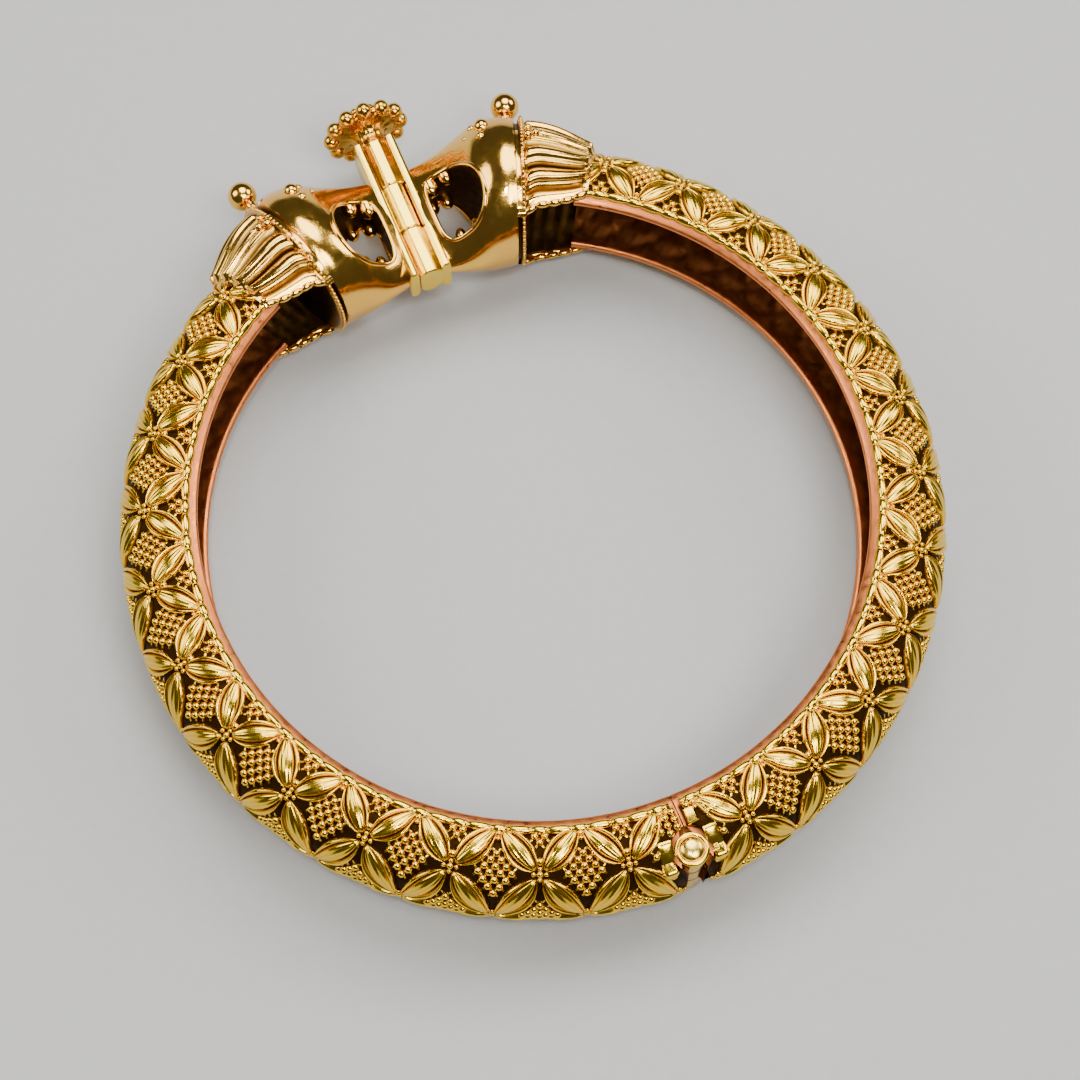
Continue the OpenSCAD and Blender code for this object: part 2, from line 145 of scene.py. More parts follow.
def smooth_table(x: np.ndarray, table: tuple[tuple[float, ...], ...], column: int) -> np.ndarray:
    """A table's column read on a smooth curve.

    On each span it is h00 y0 + h10 w m0 + h01 y1 + h11 w m1, with slopes m that are the harmonic mean of the
    neighbouring spans' slopes, or 0 at a turn.

    Args:
        x: where to read the table.
        table: rows whose first number is their place, in rising order.
        column: which number of the rows to read.

    Returns:
        An array like x.
    """
    rows = np.array(table)
    places, values = rows[:, 0], rows[:, column]
    spans = np.diff(places)
    slopes = np.diff(values) / spans
    same = slopes[:-1] * slopes[1:] > 0
    middle = np.where(same, 2 * slopes[:-1] * slopes[1:] / np.where(same, slopes[:-1] + slopes[1:], 1), 0)
    tangents = np.concatenate([slopes[:1], middle, slopes[-1:]])
    k = np.clip(np.searchsorted(places, x) - 1, 0, len(spans) - 1)
    width = spans[k]
    t = np.clip((x - places[k]) / width, 0, 1)
    return ((1 + 2 * t) * (1 - t) ** 2 * values[k] + t * (1 - t) ** 2 * width * tangents[k]
            + t ** 2 * (3 - 2 * t) * values[k + 1] + t ** 2 * (t - 1) * width * tangents[k + 1])


def unit(vectors: np.ndarray) -> np.ndarray:
    """Vectors divided by their length."""
    return vectors / np.maximum(np.linalg.norm(vectors, axis=-1, keepdims=True), 1e-12)


def on_oval(angle: np.ndarray, middle: np.ndarray | float, deep: np.ndarray | float,
            half: np.ndarray | float, v: np.ndarray) -> np.ndarray:
    """Places on an oval section of the ring: ((m + d cos v) sin a, (m + d cos v) cos a, h sin v).

    Args:
        angle: angles round the ring from the clasp.
        middle: distance of the oval's middle from the ring's centre.
        deep: half of the oval's depth.
        half: half of the oval's height.
        v: angles round the oval from its outer end.

    Returns:
        An array (..., 3).
    """
    a, w = np.radians(angle), np.radians(v)
    r = middle + deep * np.cos(w)
    return np.stack(np.broadcast_arrays(r * np.sin(a), r * np.cos(a), half * np.sin(w)), axis=-1)


def sphere_points(a: np.ndarray, b: np.ndarray) -> np.ndarray:
    """Directions (sin b cos a, sin b sin a, cos b), with a round the pole and b down from it."""
    return np.stack(np.broadcast_arrays(np.sin(b) * np.cos(a), np.sin(b) * np.sin(a), np.cos(b)), axis=-1)


def spheres(centres: np.ndarray, radius: np.ndarray | float, around: int = 10, rings: int = 6) -> Surface:
    """Spheres: centre + r direction, for the directions of sphere_points.

    Args:
        centres: array (n, 3).
        radius: one radius, or one for each centre.
        around: steps round the pole.
        rings: steps from pole to pole.

    Returns:
        The surface of all the spheres.
    """
    turns = np.linspace(0, 2 * np.pi, around, endpoint=False)
    ball = sphere_points(turns, np.linspace(0, np.pi, rings + 1)[:, None])
    size = np.broadcast_to(radius, len(centres))[:, None, None, None]
    return grids(np.asarray(centres)[:, None, None, :] + size * ball, closed_v=True)


def tube(path: np.ndarray, radius: np.ndarray | float, towards: np.ndarray, sides: int = 8,
         closed: bool = False, flat: float = 1.0) -> Surface:
    """A round wire along a path: path + r (cos a n + flat sin a b).

    Here n is the part of towards that is square to the path, and b is square to both. The ends of an open
    wire shrink to a point.

    Args:
        path: array (n, 3), or (copies, n, 3).
        radius: one radius, or one for each point of the path.
        towards: the side that n points to, shaped like the path.
        sides: points round the wire.
        closed: whether the path's end joins its start.
        flat: share of the width across n.

    Returns:
        The wire's surface.
    """
    if closed:
        along = unit(np.roll(path, -1, axis=-2) - np.roll(path, 1, axis=-2))
    else:
        along = unit(np.gradient(path, axis=-2))
    out = unit(towards - np.sum(towards * along, axis=-1, keepdims=True) * along)
    beside = np.cross(along, out)
    size = np.broadcast_to(radius, path.shape[:-1]).copy()
    if not closed:
        size = np.concatenate([0 * size[..., :1], size, 0 * size[..., :1]], axis=-1)
        path, out, beside = [np.concatenate([x[..., :1, :], x, x[..., -1:, :]], axis=-2)
                             for x in (path, out, beside)]
    a = np.linspace(0, 2 * np.pi, sides, endpoint=False)[:, None]
    ring = out[..., None, :] * np.cos(a) + flat * beside[..., None, :] * np.sin(a)
    points = path[..., None, :] + size[..., None, None] * ring
    return grids(points, closed_u=closed, closed_v=True)


def lathe(profile: np.ndarray, origin: np.ndarray, axis: np.ndarray, around: int = 48,
          ripple: np.ndarray | float = 0.0, lobes: int = 0) -> Surface:
    """A turned shape: origin + h axis + r (1 + ripple cos(lobes a)) (cos a p + sin a q).

    Here p and q are square to the axis and to each other.

    Args:
        profile: rows of (r, h), from the lower end to the upper one.
        origin: where h is 0.
        axis: unit direction of h.
        around: points round the axis.
        ripple: depth of the lobes as a share of r, for each row.
        lobes: how many lobes there are.

    Returns:
        The turned surface.
    """
    axis = unit(np.asarray(axis, float))
    p = unit(np.cross(axis, [0.3, 0.2, 0.9] if abs(axis[2]) < 0.9 else [1.0, 0.0, 0.0]))
    q = np.cross(axis, p)
    a = np.linspace(0, 2 * np.pi, around, endpoint=False)
    ring = np.cos(a)[:, None] * p + np.sin(a)[:, None] * q
    depth = np.broadcast_to(ripple, len(profile))[:, None] * np.cos(lobes * a)[None, :]
    radius = profile[:, :1] * (1 + depth)
    points = np.asarray(origin, float) + profile[:, 1][:, None, None] * axis + radius[..., None] * ring[None]
    # Painted shade: the troughs between the lobes are darkened through the recess tone
    return grids(points, recess=np.clip(-depth * 4, 0, 1), closed_v=True, turned=True)


def rounded_box(low: tuple[float, float, float], high: tuple[float, float, float], radius: float) -> Surface:
    """A block with round edges: centre + sign(d) (half size - radius) + radius d, for d over the unit sphere.

    Args:
        low: lowest corner.
        high: highest corner.
        radius: radius of the edges.

    Returns:
        The block's surface.
    """
    low, high = np.array(low, float), np.array(high, float)
    inner = (high - low) / 2 - radius
    quarter = np.linspace(0.02, np.pi / 2 - 0.02, 4)
    a = np.concatenate([quarter + k * np.pi / 2 for k in range(4)])
    b = np.concatenate([[0], quarter, quarter + np.pi / 2, [np.pi]])
    d = sphere_points(a, b[:, None])
    d[0], d[-1] = [0, 0, 1], [0, 0, -1]
    return grids((low + high) / 2 + np.sign(np.round(d, 6)) * inner + radius * d, closed_v=True)


def filled_mesh(name: str, surface: Surface, sharp_deg: float) -> bpy.types.Mesh:
    """A Blender mesh in metres. Points at one place become one, and a quad may become a triangle by that.

    Args:
        name: the mesh's name.
        surface: what to fill it with.
        sharp_deg: edges that bend by more than this stay sharp.

    Returns:
        The mesh, smooth shaded, with the recess attribute.
    """
    keys = np.round(surface.points / WELD_MM).astype(np.int64)
    _, first, number = np.unique(keys, axis=0, return_index=True, return_inverse=True)
    quads = number.reshape(-1)[surface.quads]
    kept = quads != np.roll(quads, -1, axis=1)
    sides = kept.sum(axis=1)
    whole = sides >= 3
    loops = quads[whole][kept[whole]]
    starts = np.concatenate([[0], np.cumsum(sides[whole])[:-1]])
    mesh = bpy.data.meshes.new(name)
    mesh.vertices.add(len(first))
    mesh.vertices.foreach_set("co", (surface.points[first] * MM).ravel())
    mesh.loops.add(len(loops))
    mesh.loops.foreach_set("vertex_index", loops)
    mesh.polygons.add(len(starts))
    mesh.polygons.foreach_set("loop_start", starts)
    mesh.update(calc_edges=True)
    mesh.validate()
    mesh.polygons.foreach_set("use_smooth", np.ones(len(mesh.polygons), bool))
    mesh.set_sharp_from_angle(angle=math.radians(sharp_deg))
    values = mesh.attributes.new(RECESS, "FLOAT", "POINT")
    values.data.foreach_set("value", surface.recess[first])
    return mesh


# Finishes

# Noise scales are in cycles to a metre, bumps in metres. Wear multiplies roughness, and recesses add to it.
CLOUD_SCALE, GRAIN_SCALE, PIT_SCALE = 260, 1500, 5200
CAST_BUMP, PIT_BUMP = 0.00012, 0.00002
MOST_TARNISH = 0.55
WEAR = (0.75, 1.5)
RECESS_DULLS = 0.28


def add_node(tree: bpy.types.NodeTree, kind: str, inputs: dict[str | int, object],
             **settings: object) -> bpy.types.Node:
    """A new node with some inputs set, or linked where a socket is given.

    Args:
        tree: the tree that gets the node.
        kind: the node's type.
        inputs: a value or a source socket for each named or numbered input.
        settings: values of the node's own properties.

    Returns:
        The new node.
    """
    node = tree.nodes.new(kind)
    for name, value in settings.items():
        setattr(node, name, value)
    for name, value in inputs.items():
        if isinstance(value, bpy.types.NodeSocket):
            tree.links.new(value, node.inputs[name])
        else:
            node.inputs[name].default_value = value
    return node


def gold_group() -> bpy.types.NodeTree:
    """The gilding that every finish uses: colour, roughness and normal that change over the surface.

    Clouds of noise tarnish the gold. Recesses take the hollow colour, a painted shade. Grain wears it
    unevenly and makes castings uneven. Pits roughen it.

    Returns:
        The node group, built once.
    """
    found = bpy.data.node_groups.get("gilding")
    if found:
        return found
    group = bpy.data.node_groups.new("gilding", "ShaderNodeTree")
    for name, kind in (("Place", "Vector"), ("Recess", "Float"), ("Gold", "Color"), ("Hollow", "Color"),
                       ("Tarnish", "Color"), ("Polish", "Float"), ("Cast", "Float")):
        group.interface.new_socket(name, in_out="INPUT", socket_type=f"NodeSocket{kind}")
    for name, kind in (("Colour", "Color"), ("Roughness", "Float"), ("Normal", "Vector")):
        group.interface.new_socket(name, in_out="OUTPUT", socket_type=f"NodeSocket{kind}")
    given = group.nodes.new("NodeGroupInput").outputs

    def noise(scale: float, detail: float) -> bpy.types.NodeSocket:
        """A noise texture over Place."""
        sockets = {"Vector": given["Place"], "Scale": scale, "Detail": detail}
        return add_node(group, "ShaderNodeTexNoise", sockets).outputs["Fac"]

    def spread(source: bpy.types.NodeSocket, low: float, high: float, to_low: float,
               to_high: float) -> bpy.types.NodeSocket:
        """A range carried over to another one."""
        sockets = {"Value": source, "From Min": low, "From Max": high, "To Min": to_low, "To Max": to_high}
        return add_node(group, "ShaderNodeMapRange", sockets).outputs["Result"]

    def blended(share: bpy.types.NodeSocket, one: bpy.types.NodeSocket,
                other: bpy.types.NodeSocket) -> bpy.types.NodeSocket:
        """One colour turning into the other as share goes from 0 to 1."""
        sockets = {"Factor": share, "A": one, "B": other}
        return add_node(group, "ShaderNodeMix", sockets, data_type="RGBA").outputs["Result"]

    clouds, grain, pits = noise(CLOUD_SCALE, 3), noise(GRAIN_SCALE, 4), noise(PIT_SCALE, 2)
    golden = blended(spread(clouds, 0.42, 0.75, 0.0, MOST_TARNISH), given["Gold"], given["Tarnish"])
    # Painted shade: recesses are blended towards the dark hollow colour
    colour = blended(given["Recess"], golden, given["Hollow"])
    worn = spread(grain, 0.3, 0.75, *WEAR)
    polish = add_node(group, "ShaderNodeMath", {0: given["Polish"], 1: worn}, operation="MULTIPLY")
    added = {0: given["Recess"], 1: RECESS_DULLS, 2: polish.outputs["Value"]}
    dull = add_node(group, "ShaderNodeMath", added, operation="MULTIPLY_ADD")
    rough = {"Distance": CAST_BUMP, "Strength": given["Cast"], "Height": grain}
    uneven = add_node(group, "ShaderNodeBump", rough)
    pitted = {"Distance": PIT_BUMP, "Strength": 0.35, "Height": pits, "Normal": uneven.outputs["Normal"]}
    fine = add_node(group, "ShaderNodeBump", pitted)
    add_node(group, "NodeGroupOutput", {"Colour": colour, "Roughness": dull.outputs["Value"],
                                        "Normal": fine.outputs["Normal"]})
    return group


@dataclass(frozen=True)
class GoldFinish:
    """One gilded finish.

    Args:
        name: the material's name.
        slot: the record's material slot; not used.
        gold: colour of the polished gold.
        hollow: colour in the recesses, a painted shade.
        tarnish: colour of the warmer patches.
        polish: roughness of the polished gold.
        cast: how uneven the surface is.
    """

    name: str
    slot: str
    gold: tuple[float, float, float]
    hollow: tuple[float, float, float]
    tarnish: tuple[float, float, float]
    polish: float
    cast: float

    def material(self) -> bpy.types.Material:
        """The material, built once.

        Returns:
            A metal whose colour, roughness and normal come from the gilding group.
        """
        found = bpy.data.materials.get(self.name)
        if found:
            return found
        material = bpy.data.materials.new(self.name)
        material.use_nodes = True
        tree = material.node_tree
        shader = tree.nodes["Principled BSDF"]
        shader.inputs["Metallic"].default_value = 1.0
        place = add_node(tree, "ShaderNodeTexCoord", {}).outputs["Object"]
        recess = add_node(tree, "ShaderNodeAttribute", {}, attribute_name=RECESS).outputs["Fac"]
        gilding = add_node(tree, "ShaderNodeGroup", {}, node_tree=gold_group())
        for name, value in (("Gold", (*self.gold, 1)), ("Hollow", (*self.hollow, 1)),
                            ("Tarnish", (*self.tarnish, 1)), ("Polish", self.polish), ("Cast", self.cast)):
            gilding.inputs[name].default_value = value
        tree.links.new(place, gilding.inputs["Place"])
        tree.links.new(recess, gilding.inputs["Recess"])
        for output, socket in (("Colour", "Base Color"), ("Roughness", "Roughness"), ("Normal", "Normal")):
            tree.links.new(gilding.outputs[output], shader.inputs[socket])
        return material


# Each finish's second colour is painted shade, put into its recesses
SHEET = GoldFinish("gilt sheet", "stamped_gold", (0.80, 0.25, 0.07), (0.035, 0.014, 0.003),
                   (0.75, 0.21, 0.06), 0.34, 0.0)
STAMPED = GoldFinish("stamped gilt pattern", "stamped_gold", (1.0, 0.64, 0.04), (0.04, 0.018, 0.002),
                     (0.96, 0.53, 0.03), 0.15, 0.08)
CAST = GoldFinish("polished gilt casting", "cast_gold", (0.98, 0.57, 0.09), (0.05, 0.02, 0.003),
                  (0.92, 0.42, 0.10), 0.13, 0.08)
# A darker copy of the cast gold: painted shade inside the neck
SHADED_NECK = GoldFinish("inside of the cast neck", "cast_gold", (0.36, 0.18, 0.04), (0.12, 0.05, 0.01),
                  (0.22, 0.10, 0.02), 0.32, 0.3)
# A darker copy of the cast gold: painted shade on the flower's disc, turned away from the light
SHADED_FLOWER = GoldFinish("flower gilt darkened as painted shade", "cast_gold", (0.78, 0.43, 0.045), (0.04, 0.018, 0.003),
                    (0.66, 0.33, 0.035), 0.18, 0.2)
# A lighter, yellower copy of the cast gold: painted light on the clasp's strips and knuckles
LIT_CLASP = GoldFinish("clasp gilt lightened as painted light", "cast_gold", (1.0, 0.70, 0.08), (0.05, 0.024, 0.003),
                   (0.97, 0.60, 0.06), 0.17, 0.08)
# A dark copy of the cast gold: painted shade inside the mouth
SHADED_THROAT = GoldFinish("dark inside of the casting", "cast_gold", (0.16, 0.065, 0.013), (0.04, 0.016, 0.004),
                    (0.10, 0.035, 0.008), 0.36, 0.3)
WIRE = GoldFinish("gilt wire", "pin_gold", (1.0, 0.70, 0.12), (0.2, 0.09, 0.02),
                  (0.94, 0.52, 0.10), 0.22, 0.08)


def placed(name: str, data: bpy.types.ID) -> bpy.types.Object:
    """A new object in the scene.

    Args:
        name: its name.
        data: the mesh, light or camera that it holds.

    Returns:
        The object.
    """
    thing = bpy.data.objects.new(name, data)
    bpy.context.scene.collection.objects.link(thing)
    return thing


def make_piece(name: str, surface: Surface, body: str, finish: GoldFinish, replaced: tuple[str, ...] = (),
               sharp_deg: float = 60.0) -> None:
    """Puts a surface into the scene as a piece that rides on a body.

    Args:
        name: the piece's name.
        surface: its shape.
        body: the body that it moves with.
        finish: its finish.
        replaced: the CAD nodes that it stands for.
        sharp_deg: edges that bend by more than this stay sharp.
    """
    piece = placed(name, filled_mesh(name, surface, sharp_deg))
    piece.data.materials.append(finish.material())
    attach(piece, body)
    if replaced:
        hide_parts(*replaced)
    LOG.info("%s: %d faces on %s", name, len(piece.data.polygons), body)


def make_side_piece(kind: str, side: Side, surface: Surface, finish: GoldFinish,
                    replaced: tuple[str, ...] = (), sharp_deg: float = 60.0) -> None:
    """Puts a right half's surface into the scene as a piece of one side, with the side in its name.

    Args:
        kind: the piece's name without its side.
        side: the half that carries it.
        surface: its shape on the right half.
        finish: its finish.
        replaced: the CAD nodes that it stands for, without their side.
        sharp_deg: edges that bend by more than this stay sharp.
    """
    name = side.name.lower()
    nodes = tuple(f"{node}_{name}" for node in replaced)
    make_piece(f"{kind}_{name}", for_side(surface, side), f"{name}_half", finish, nodes, sharp_deg)


# Band halves

@dataclass
class Band:
    """One stamped half of the band, with its lattice of petals, granules and beads, and its hinge knuckles.

    The cheek holds its thickness, its reach outwards and inwards, and half of its height. A slip and a tab
    hold where they lie round the ring and round the section, and their height. Rows of grains hold those two
    angles. The bare zone has no pattern and ends a little past the slips, round the ring and round the
    section. The rim beads' radius is that of their waist, and what they gain at their middle.
    """

    ring_r: float = RING_R
    shell_r: float = SHELL_R
    wall: float = 0.7
    edge_v: float = 115.86
    pitch: float = 12.5
    first_node: float = 2.75
    flowers: int = 12
    flower_v: float = 60.0
    rim_v: float = 111.0
    wire_v: float = 104.5
    petal_w: float = 2.5
    petal_h: float = 0.6
    granule_r: float = 0.37
    rim_granule_r: float = 0.38
    node_bead_r: float = 0.24
    rim_bead_r: tuple[float, float] = (0.24, 0.20)
    dent_slant: float = 55.0
    dent_deep: float = 0.30
    lump_high: float = 0.06
    start_angle: float = 0.11
    end_angle: float = 150.7
    pattern_start: float = 0.6
    pattern_end: float = 148.75
    hinge_r: float = HINGE_R
    barrel_r: float = 1.45
    barrel_half: float = 3.8
    knuckle_gap: float = 0.06
    swing_gap: float = 0.15
    notch_room: float = 0.3
    notch_deg: float = 27.0
    bare_zone: tuple[float, float] = (4.9, 82)
    cheek: tuple[float, float, float, float] = (1.35, 1.5, 1.3, 3.65)
    spots: tuple[float, ...] = (-0.57, -0.19, 0.19, 0.57)
    cell_share: float = 0.66
    slip: tuple[tuple[float, float], tuple[float, float], float] = ((2.5, 4.6), (32, 72), 0.13)
    tab: tuple[tuple[float, float], tuple[float, float], float] = ((0.7, 2.5), (79, 97), 0.30)
    tab_grains: tuple[tuple[float, float], ...] = ((1.6, 99), (3.6, 97), (3.9, 91), (4.2, 85))
    split_grains: tuple[tuple[float, float], ...] = (
        (0.9, 98), (0.9, 90), (0.9, 82), (2.2, 94), (2.2, 86), (2.2, 78), (3.5, 90), (3.5, 82), (4.6, 86))
    hinge_grain_r: float = 0.36

    def patterned(self, angle: np.ndarray, v: np.ndarray, spare: float = 0.0) -> np.ndarray:
        """Whether places lie on the pattern, spare degrees from its ends and off the hinge's slips."""
        bare = (angle < self.bare_zone[0]) & (np.abs(v) < self.bare_zone[1])
        return (angle > self.pattern_start + spare) & (angle < self.pattern_end - spare) & ~bare

    def on(self, angle: np.ndarray, v: np.ndarray, s: np.ndarray | float) -> np.ndarray:
        """Places on the round section: ((R + s cos v) sin a, -(R + s cos v) cos a, s sin v).

        Args:
            angle: angles round the ring from the hinge.
            v: angles round the section from the equator.
            s: distances from the section's middle.

        Returns:
            An array (..., 3).
        """
        return on_oval(180 - angle, self.ring_r, s, s, v)

    def out(self, angle: np.ndarray, v: np.ndarray) -> np.ndarray:
        """Outward directions of the round section: (cos v sin a, -cos v cos a, sin v)."""
        return on_oval(180 - angle, 0.0, 1.0, 1.0, v)

    def shell(self) -> Surface:
        """The plain sheet under the pattern, a closed strip: outside, round rim, inside, round rim.

        The inside is dented by cos^8 across the two families of diagonals that the petals follow, with low
        lumps from products of sines. Both start 5 degrees from the rims. The outside under the pattern and
        the inside take the hollow colour as painted shade.

        Returns:
            The sheet's surface.
        """
        angles = np.linspace(self.start_angle, self.end_angle, 340)[:, None]
        outer_v = np.linspace(-self.edge_v, self.edge_v, 46)
        inner_v = np.linspace(self.edge_v, -self.edge_v, 40)
        rim = np.linspace(0, np.pi, 8)[1:-1]
        mid, half = self.shell_r - self.wall / 2, self.wall / 2
        lip_v = np.degrees(half * np.sin(rim) / mid)
        v = np.concatenate([outer_v, self.edge_v + lip_v, inner_v, -self.edge_v - lip_v])
        s = np.concatenate([0 * outer_v + self.shell_r, mid + half * np.cos(rim),
                            0 * inner_v + self.shell_r - self.wall, mid - half * np.cos(rim)])
        inside = np.concatenate([0 * outer_v, 0 * rim, 1 + 0 * inner_v, 0 * rim])
        turns = (angles - self.first_node) / (self.pitch / 2)
        slant = v / self.dent_slant
        dents = 0.5 * np.cos(np.pi * (turns + slant)) ** 8 + 0.5 * np.cos(np.pi * (turns - slant)) ** 8
        lumps = np.sin(angles * 1.9 + v * 0.07) * np.sin(v * 0.11 - angles * 0.8)
        lumps = lumps + 0.5 * np.sin(angles * 4.7 + v * 0.2)
        away = np.clip((self.edge_v - np.abs(v) - 5) / 12, 0, 1) * inside
        s = s + away * (self.dent_deep * dents + self.lump_high * lumps)
        # Painted shade: the outside between the rim wires, under the pattern, and the inside of the band take
        # the dark hollow colour
        under = np.clip((self.wire_v - np.abs(v)) / 2, 0, 1) * (1 - inside) * np.clip(6 * angles - 1, 0, 1)
        return grids(self.on(angles, v[None, :], s), recess=np.maximum(under, 0.75 * inside * away ** 0.2),
                     closed_v=True)

    def petals(self) -> Surface:
        """The leaf-shaped petals, from each flower to the nodes beside it.

        In the plane of the diamond a point is F + t D + q w(t) N / 2, where F is the flower, D runs to the
        node and N is square to it. Its height has a round border at |q| = 0.81, a groove inside that and a
        fluted dome in the middle.

        Returns:
            The surface of all petals.
        """
        flower = self.first_node + self.pitch / 2 + self.pitch * np.arange(self.flowers)
        a0, level, side, target = [x.reshape(-1, 1, 1) for x in np.meshgrid(
            flower, [-1, 1], [-1, 1], [0.0, self.wire_v + 2], indexing="ij")]
        turn = side * self.pitch / 2
        climb = level * (target - self.flower_v)
        mid_r = self.ring_r + self.shell_r * np.cos(np.radians((self.flower_v + target) / 2))
        wide = mid_r * np.radians(turn)
        tall = self.shell_r * np.radians(climb)
        slant = np.hypot(wide, tall)
        t = np.linspace(0, 1, 19)[None, :, None]
        half = np.array([0, 0.08, 0.16, 0.24, 0.32, 0.4, 0.48, 0.55, 0.61, 0.66, 0.72, 0.8, 0.88, 0.95, 1])
        q = np.concatenate([-half[:0:-1], half])[None, None, :]
        width = self.petal_w / 2 * np.sin(np.pi * t ** 0.92) ** 0.8
        along = 0.07 + 0.88 * t
        across = q * width
        angle = a0 + turn * along - np.degrees(across * tall / slant / mid_r)
        v = level * self.flower_v + climb * along + np.degrees(across * wide / slant / self.shell_r)
        border = 0.95 * np.sqrt(np.clip(1 - ((np.abs(q) - 0.81) / 0.19) ** 2, 0, 1))
        flutes = 0.5 + 0.5 * np.cos(2 * np.pi * q / 0.36)
        body = (0.92 - 0.35 * (q / 0.6) ** 2 + 0.10 * flutes) * np.clip((0.6 - np.abs(q)) / 0.1, 0, 1)
        rise = (0.5 + 0.5 * np.sin(np.pi * t) ** 0.6) * np.clip(np.minimum(t, 1 - t) / 0.06, 0, 1)
        height = self.petal_h * np.maximum(np.maximum(body, border), 0.1) * rise * (np.abs(q) < 1)
        height = np.where((np.abs(q) == 1) | (t == 0) | (t == 1), -0.08, height)
        points = self.on(np.clip(angle, self.pattern_start, self.pattern_end), v, self.shell_r + height)
        # Painted shade: the groove, the petal's edge and the flutes' troughs are darkened through the recess
        # tone
        groove = np.exp(-((np.abs(q) - 0.6) / 0.05) ** 2)
        tone = np.where(np.abs(q) > 0.97, 1.0, np.maximum(groove, 0.2 * (1 - flutes) * (np.abs(q) < 0.55)))
        surface = grids(points, recess=tone * np.ones_like(t))
        inward = (side * level * np.sign(target - self.flower_v) < 0).ravel()
        per_petal = surface.quads.reshape(len(a0), -1, 4)
        per_petal[inward] = per_petal[inward][:, :, ::-1]
        return Surface(surface.points, per_petal.reshape(-1, 4), surface.recess)

    def cells(self) -> tuple[np.ndarray, np.ndarray]:
        """The diamonds between the petals.

        Returns:
            Arrays of (angle, v, rise upwards, rise downwards) for the whole diamonds and the rim's half ones.
        """
        nodes = self.first_node + self.pitch * np.arange(self.flowers + 1)
        flower = self.first_node + self.pitch / 2 + self.pitch * np.arange(self.flowers)
        up, down = self.rim_v - self.flower_v, self.flower_v
        whole = [(a, self.flower_v, up, down) for a in nodes] + [(a, -self.flower_v, down, up) for a in nodes]
        whole += [(a, 0.0, down, down) for a in flower]
        halves = [(a, sign * self.rim_v, up, up) for a in flower for sign in (1, -1)]
        return np.array(whole), np.array(halves)

    def in_cell(self, cell: np.ndarray, a: np.ndarray, b: np.ndarray,
                share: float) -> tuple[np.ndarray, np.ndarray]:
        """Places in a diamond: centre + share ((a + b) / 2 across, (a - b) / 2 up or down).

        Args:
            cell: rows of (angle, v, rise upwards, rise downwards).
            a: places along one pair of sides, from -1 to 1, shaped to broadcast after the cells.
            b: places along the other pair.
            share: how much of the diamond is used.

        Returns:
            The angles round the ring and round the section.
        """
        shape = (-1,) + (1,) * max(a.ndim, b.ndim)
        across, rise = share * (a + b) / 2, share * (a - b) / 2
        angle = cell[:, 0].reshape(shape) + across * self.pitch / 2
        v = cell[:, 1].reshape(shape) + np.where(rise > 0, rise * cell[:, 2].reshape(shape),
                                                 rise * cell[:, 3].reshape(shape))
        return angle, v

    def settings(self) -> Surface:
        """The diamonds' grounds, painted dark as the shade of square holes, with low bars between them that
        join the granules.

        The ground lies 0.02 over the sheet, and the bars 0.12, where a or b is one of the spots.

        Returns:
            The surface of all the diamonds' grounds.
        """
        whole, halves = self.cells()
        across = np.array([-0.075, -0.03, 0.03, 0.075])
        steps = np.concatenate([[-1.0], *[w + across for w in self.spots], [1.0]])
        bar = np.concatenate([[0.0], np.tile([0.0, 1.0, 1.0, 0.0], len(self.spots)), [0.0]])
        a, b = steps[:, None], steps[None, :]
        ridge = np.maximum(bar[:, None], bar[None, :])
        edge = (np.abs(a) == 1) | (np.abs(b) == 1)
        height = np.where(edge, -0.06, 0.02 + 0.10 * ridge)
        parts = []
        for cell, limit in ((whole, 180.0), (halves, self.wire_v - 4)):
            angle, v = self.in_cell(cell, a, b, self.cell_share)
            raised = np.where((np.abs(v) < limit) & self.patterned(angle, v), height, -0.05)
            angle = np.clip(angle, self.pattern_start, self.pattern_end)
            # Painted shade: the ground takes the dark hollow colour, the bars less of it
            parts.append(grids(self.on(angle, np.clip(v, -limit, limit), self.shell_r + raised),
                               recess=1 - 0.8 * ridge, turned=True))
        return joined(*parts)

    def granules(self) -> Surface:
        """The granules where the bars cross, a bead in each half diamond and five small beads at each node.

        Returns:
            The surface of them all.
        """
        whole, halves = self.cells()
        a, b = [x.ravel() for x in np.meshgrid(self.spots, self.spots, indexing="ij")]
        angle, v = [np.concatenate([x.ravel(), y.ravel()]) for x, y in zip(
            self.in_cell(whole, a, b, self.cell_share), self.in_cell(halves, a, b, self.cell_share))]
        seen = (np.abs(v) < self.wire_v - 5) & self.patterned(angle, v, 0.6)
        grains = spheres(self.on(angle[seen], v[seen], self.shell_r + 0.13), self.granule_r, 8, 6)
        corner = np.sign(halves[:, 1]) * (self.flower_v + 13)
        big = spheres(self.on(halves[:, 0], corner, self.shell_r + 0.1), self.rim_granule_r, 10, 6)
        nodes = self.first_node + self.pitch * np.arange(self.flowers)
        spots = [(x, v0) for x in nodes for v0 in (0.0, self.wire_v - 5, 5 - self.wire_v)]
        spots += [(x, v0) for x in nodes + self.pitch / 2 for v0 in (self.flower_v, -self.flower_v)]
        spots = np.array(spots)[:, None, :]
        away = np.array([[0.55, 0], [-0.55, 0], [0, 0.45], [0, -0.45], [0, 0]])
        radius = self.ring_r + self.shell_r * np.cos(np.radians(spots[..., 1]))
        angle = spots[..., 0] + np.degrees(away[:, 0] / radius)
        v = spots[..., 1] + np.degrees(away[:, 1] / self.shell_r)
        size = np.broadcast_to(self.node_bead_r + np.array([0, 0, 0, 0, 0.08]), angle.shape)
        tiny = spheres(self.on(angle, v, self.shell_r + 0.14).reshape(-1, 3), size.ravel(), 8, 5)
        return joined(grains, big, tiny)

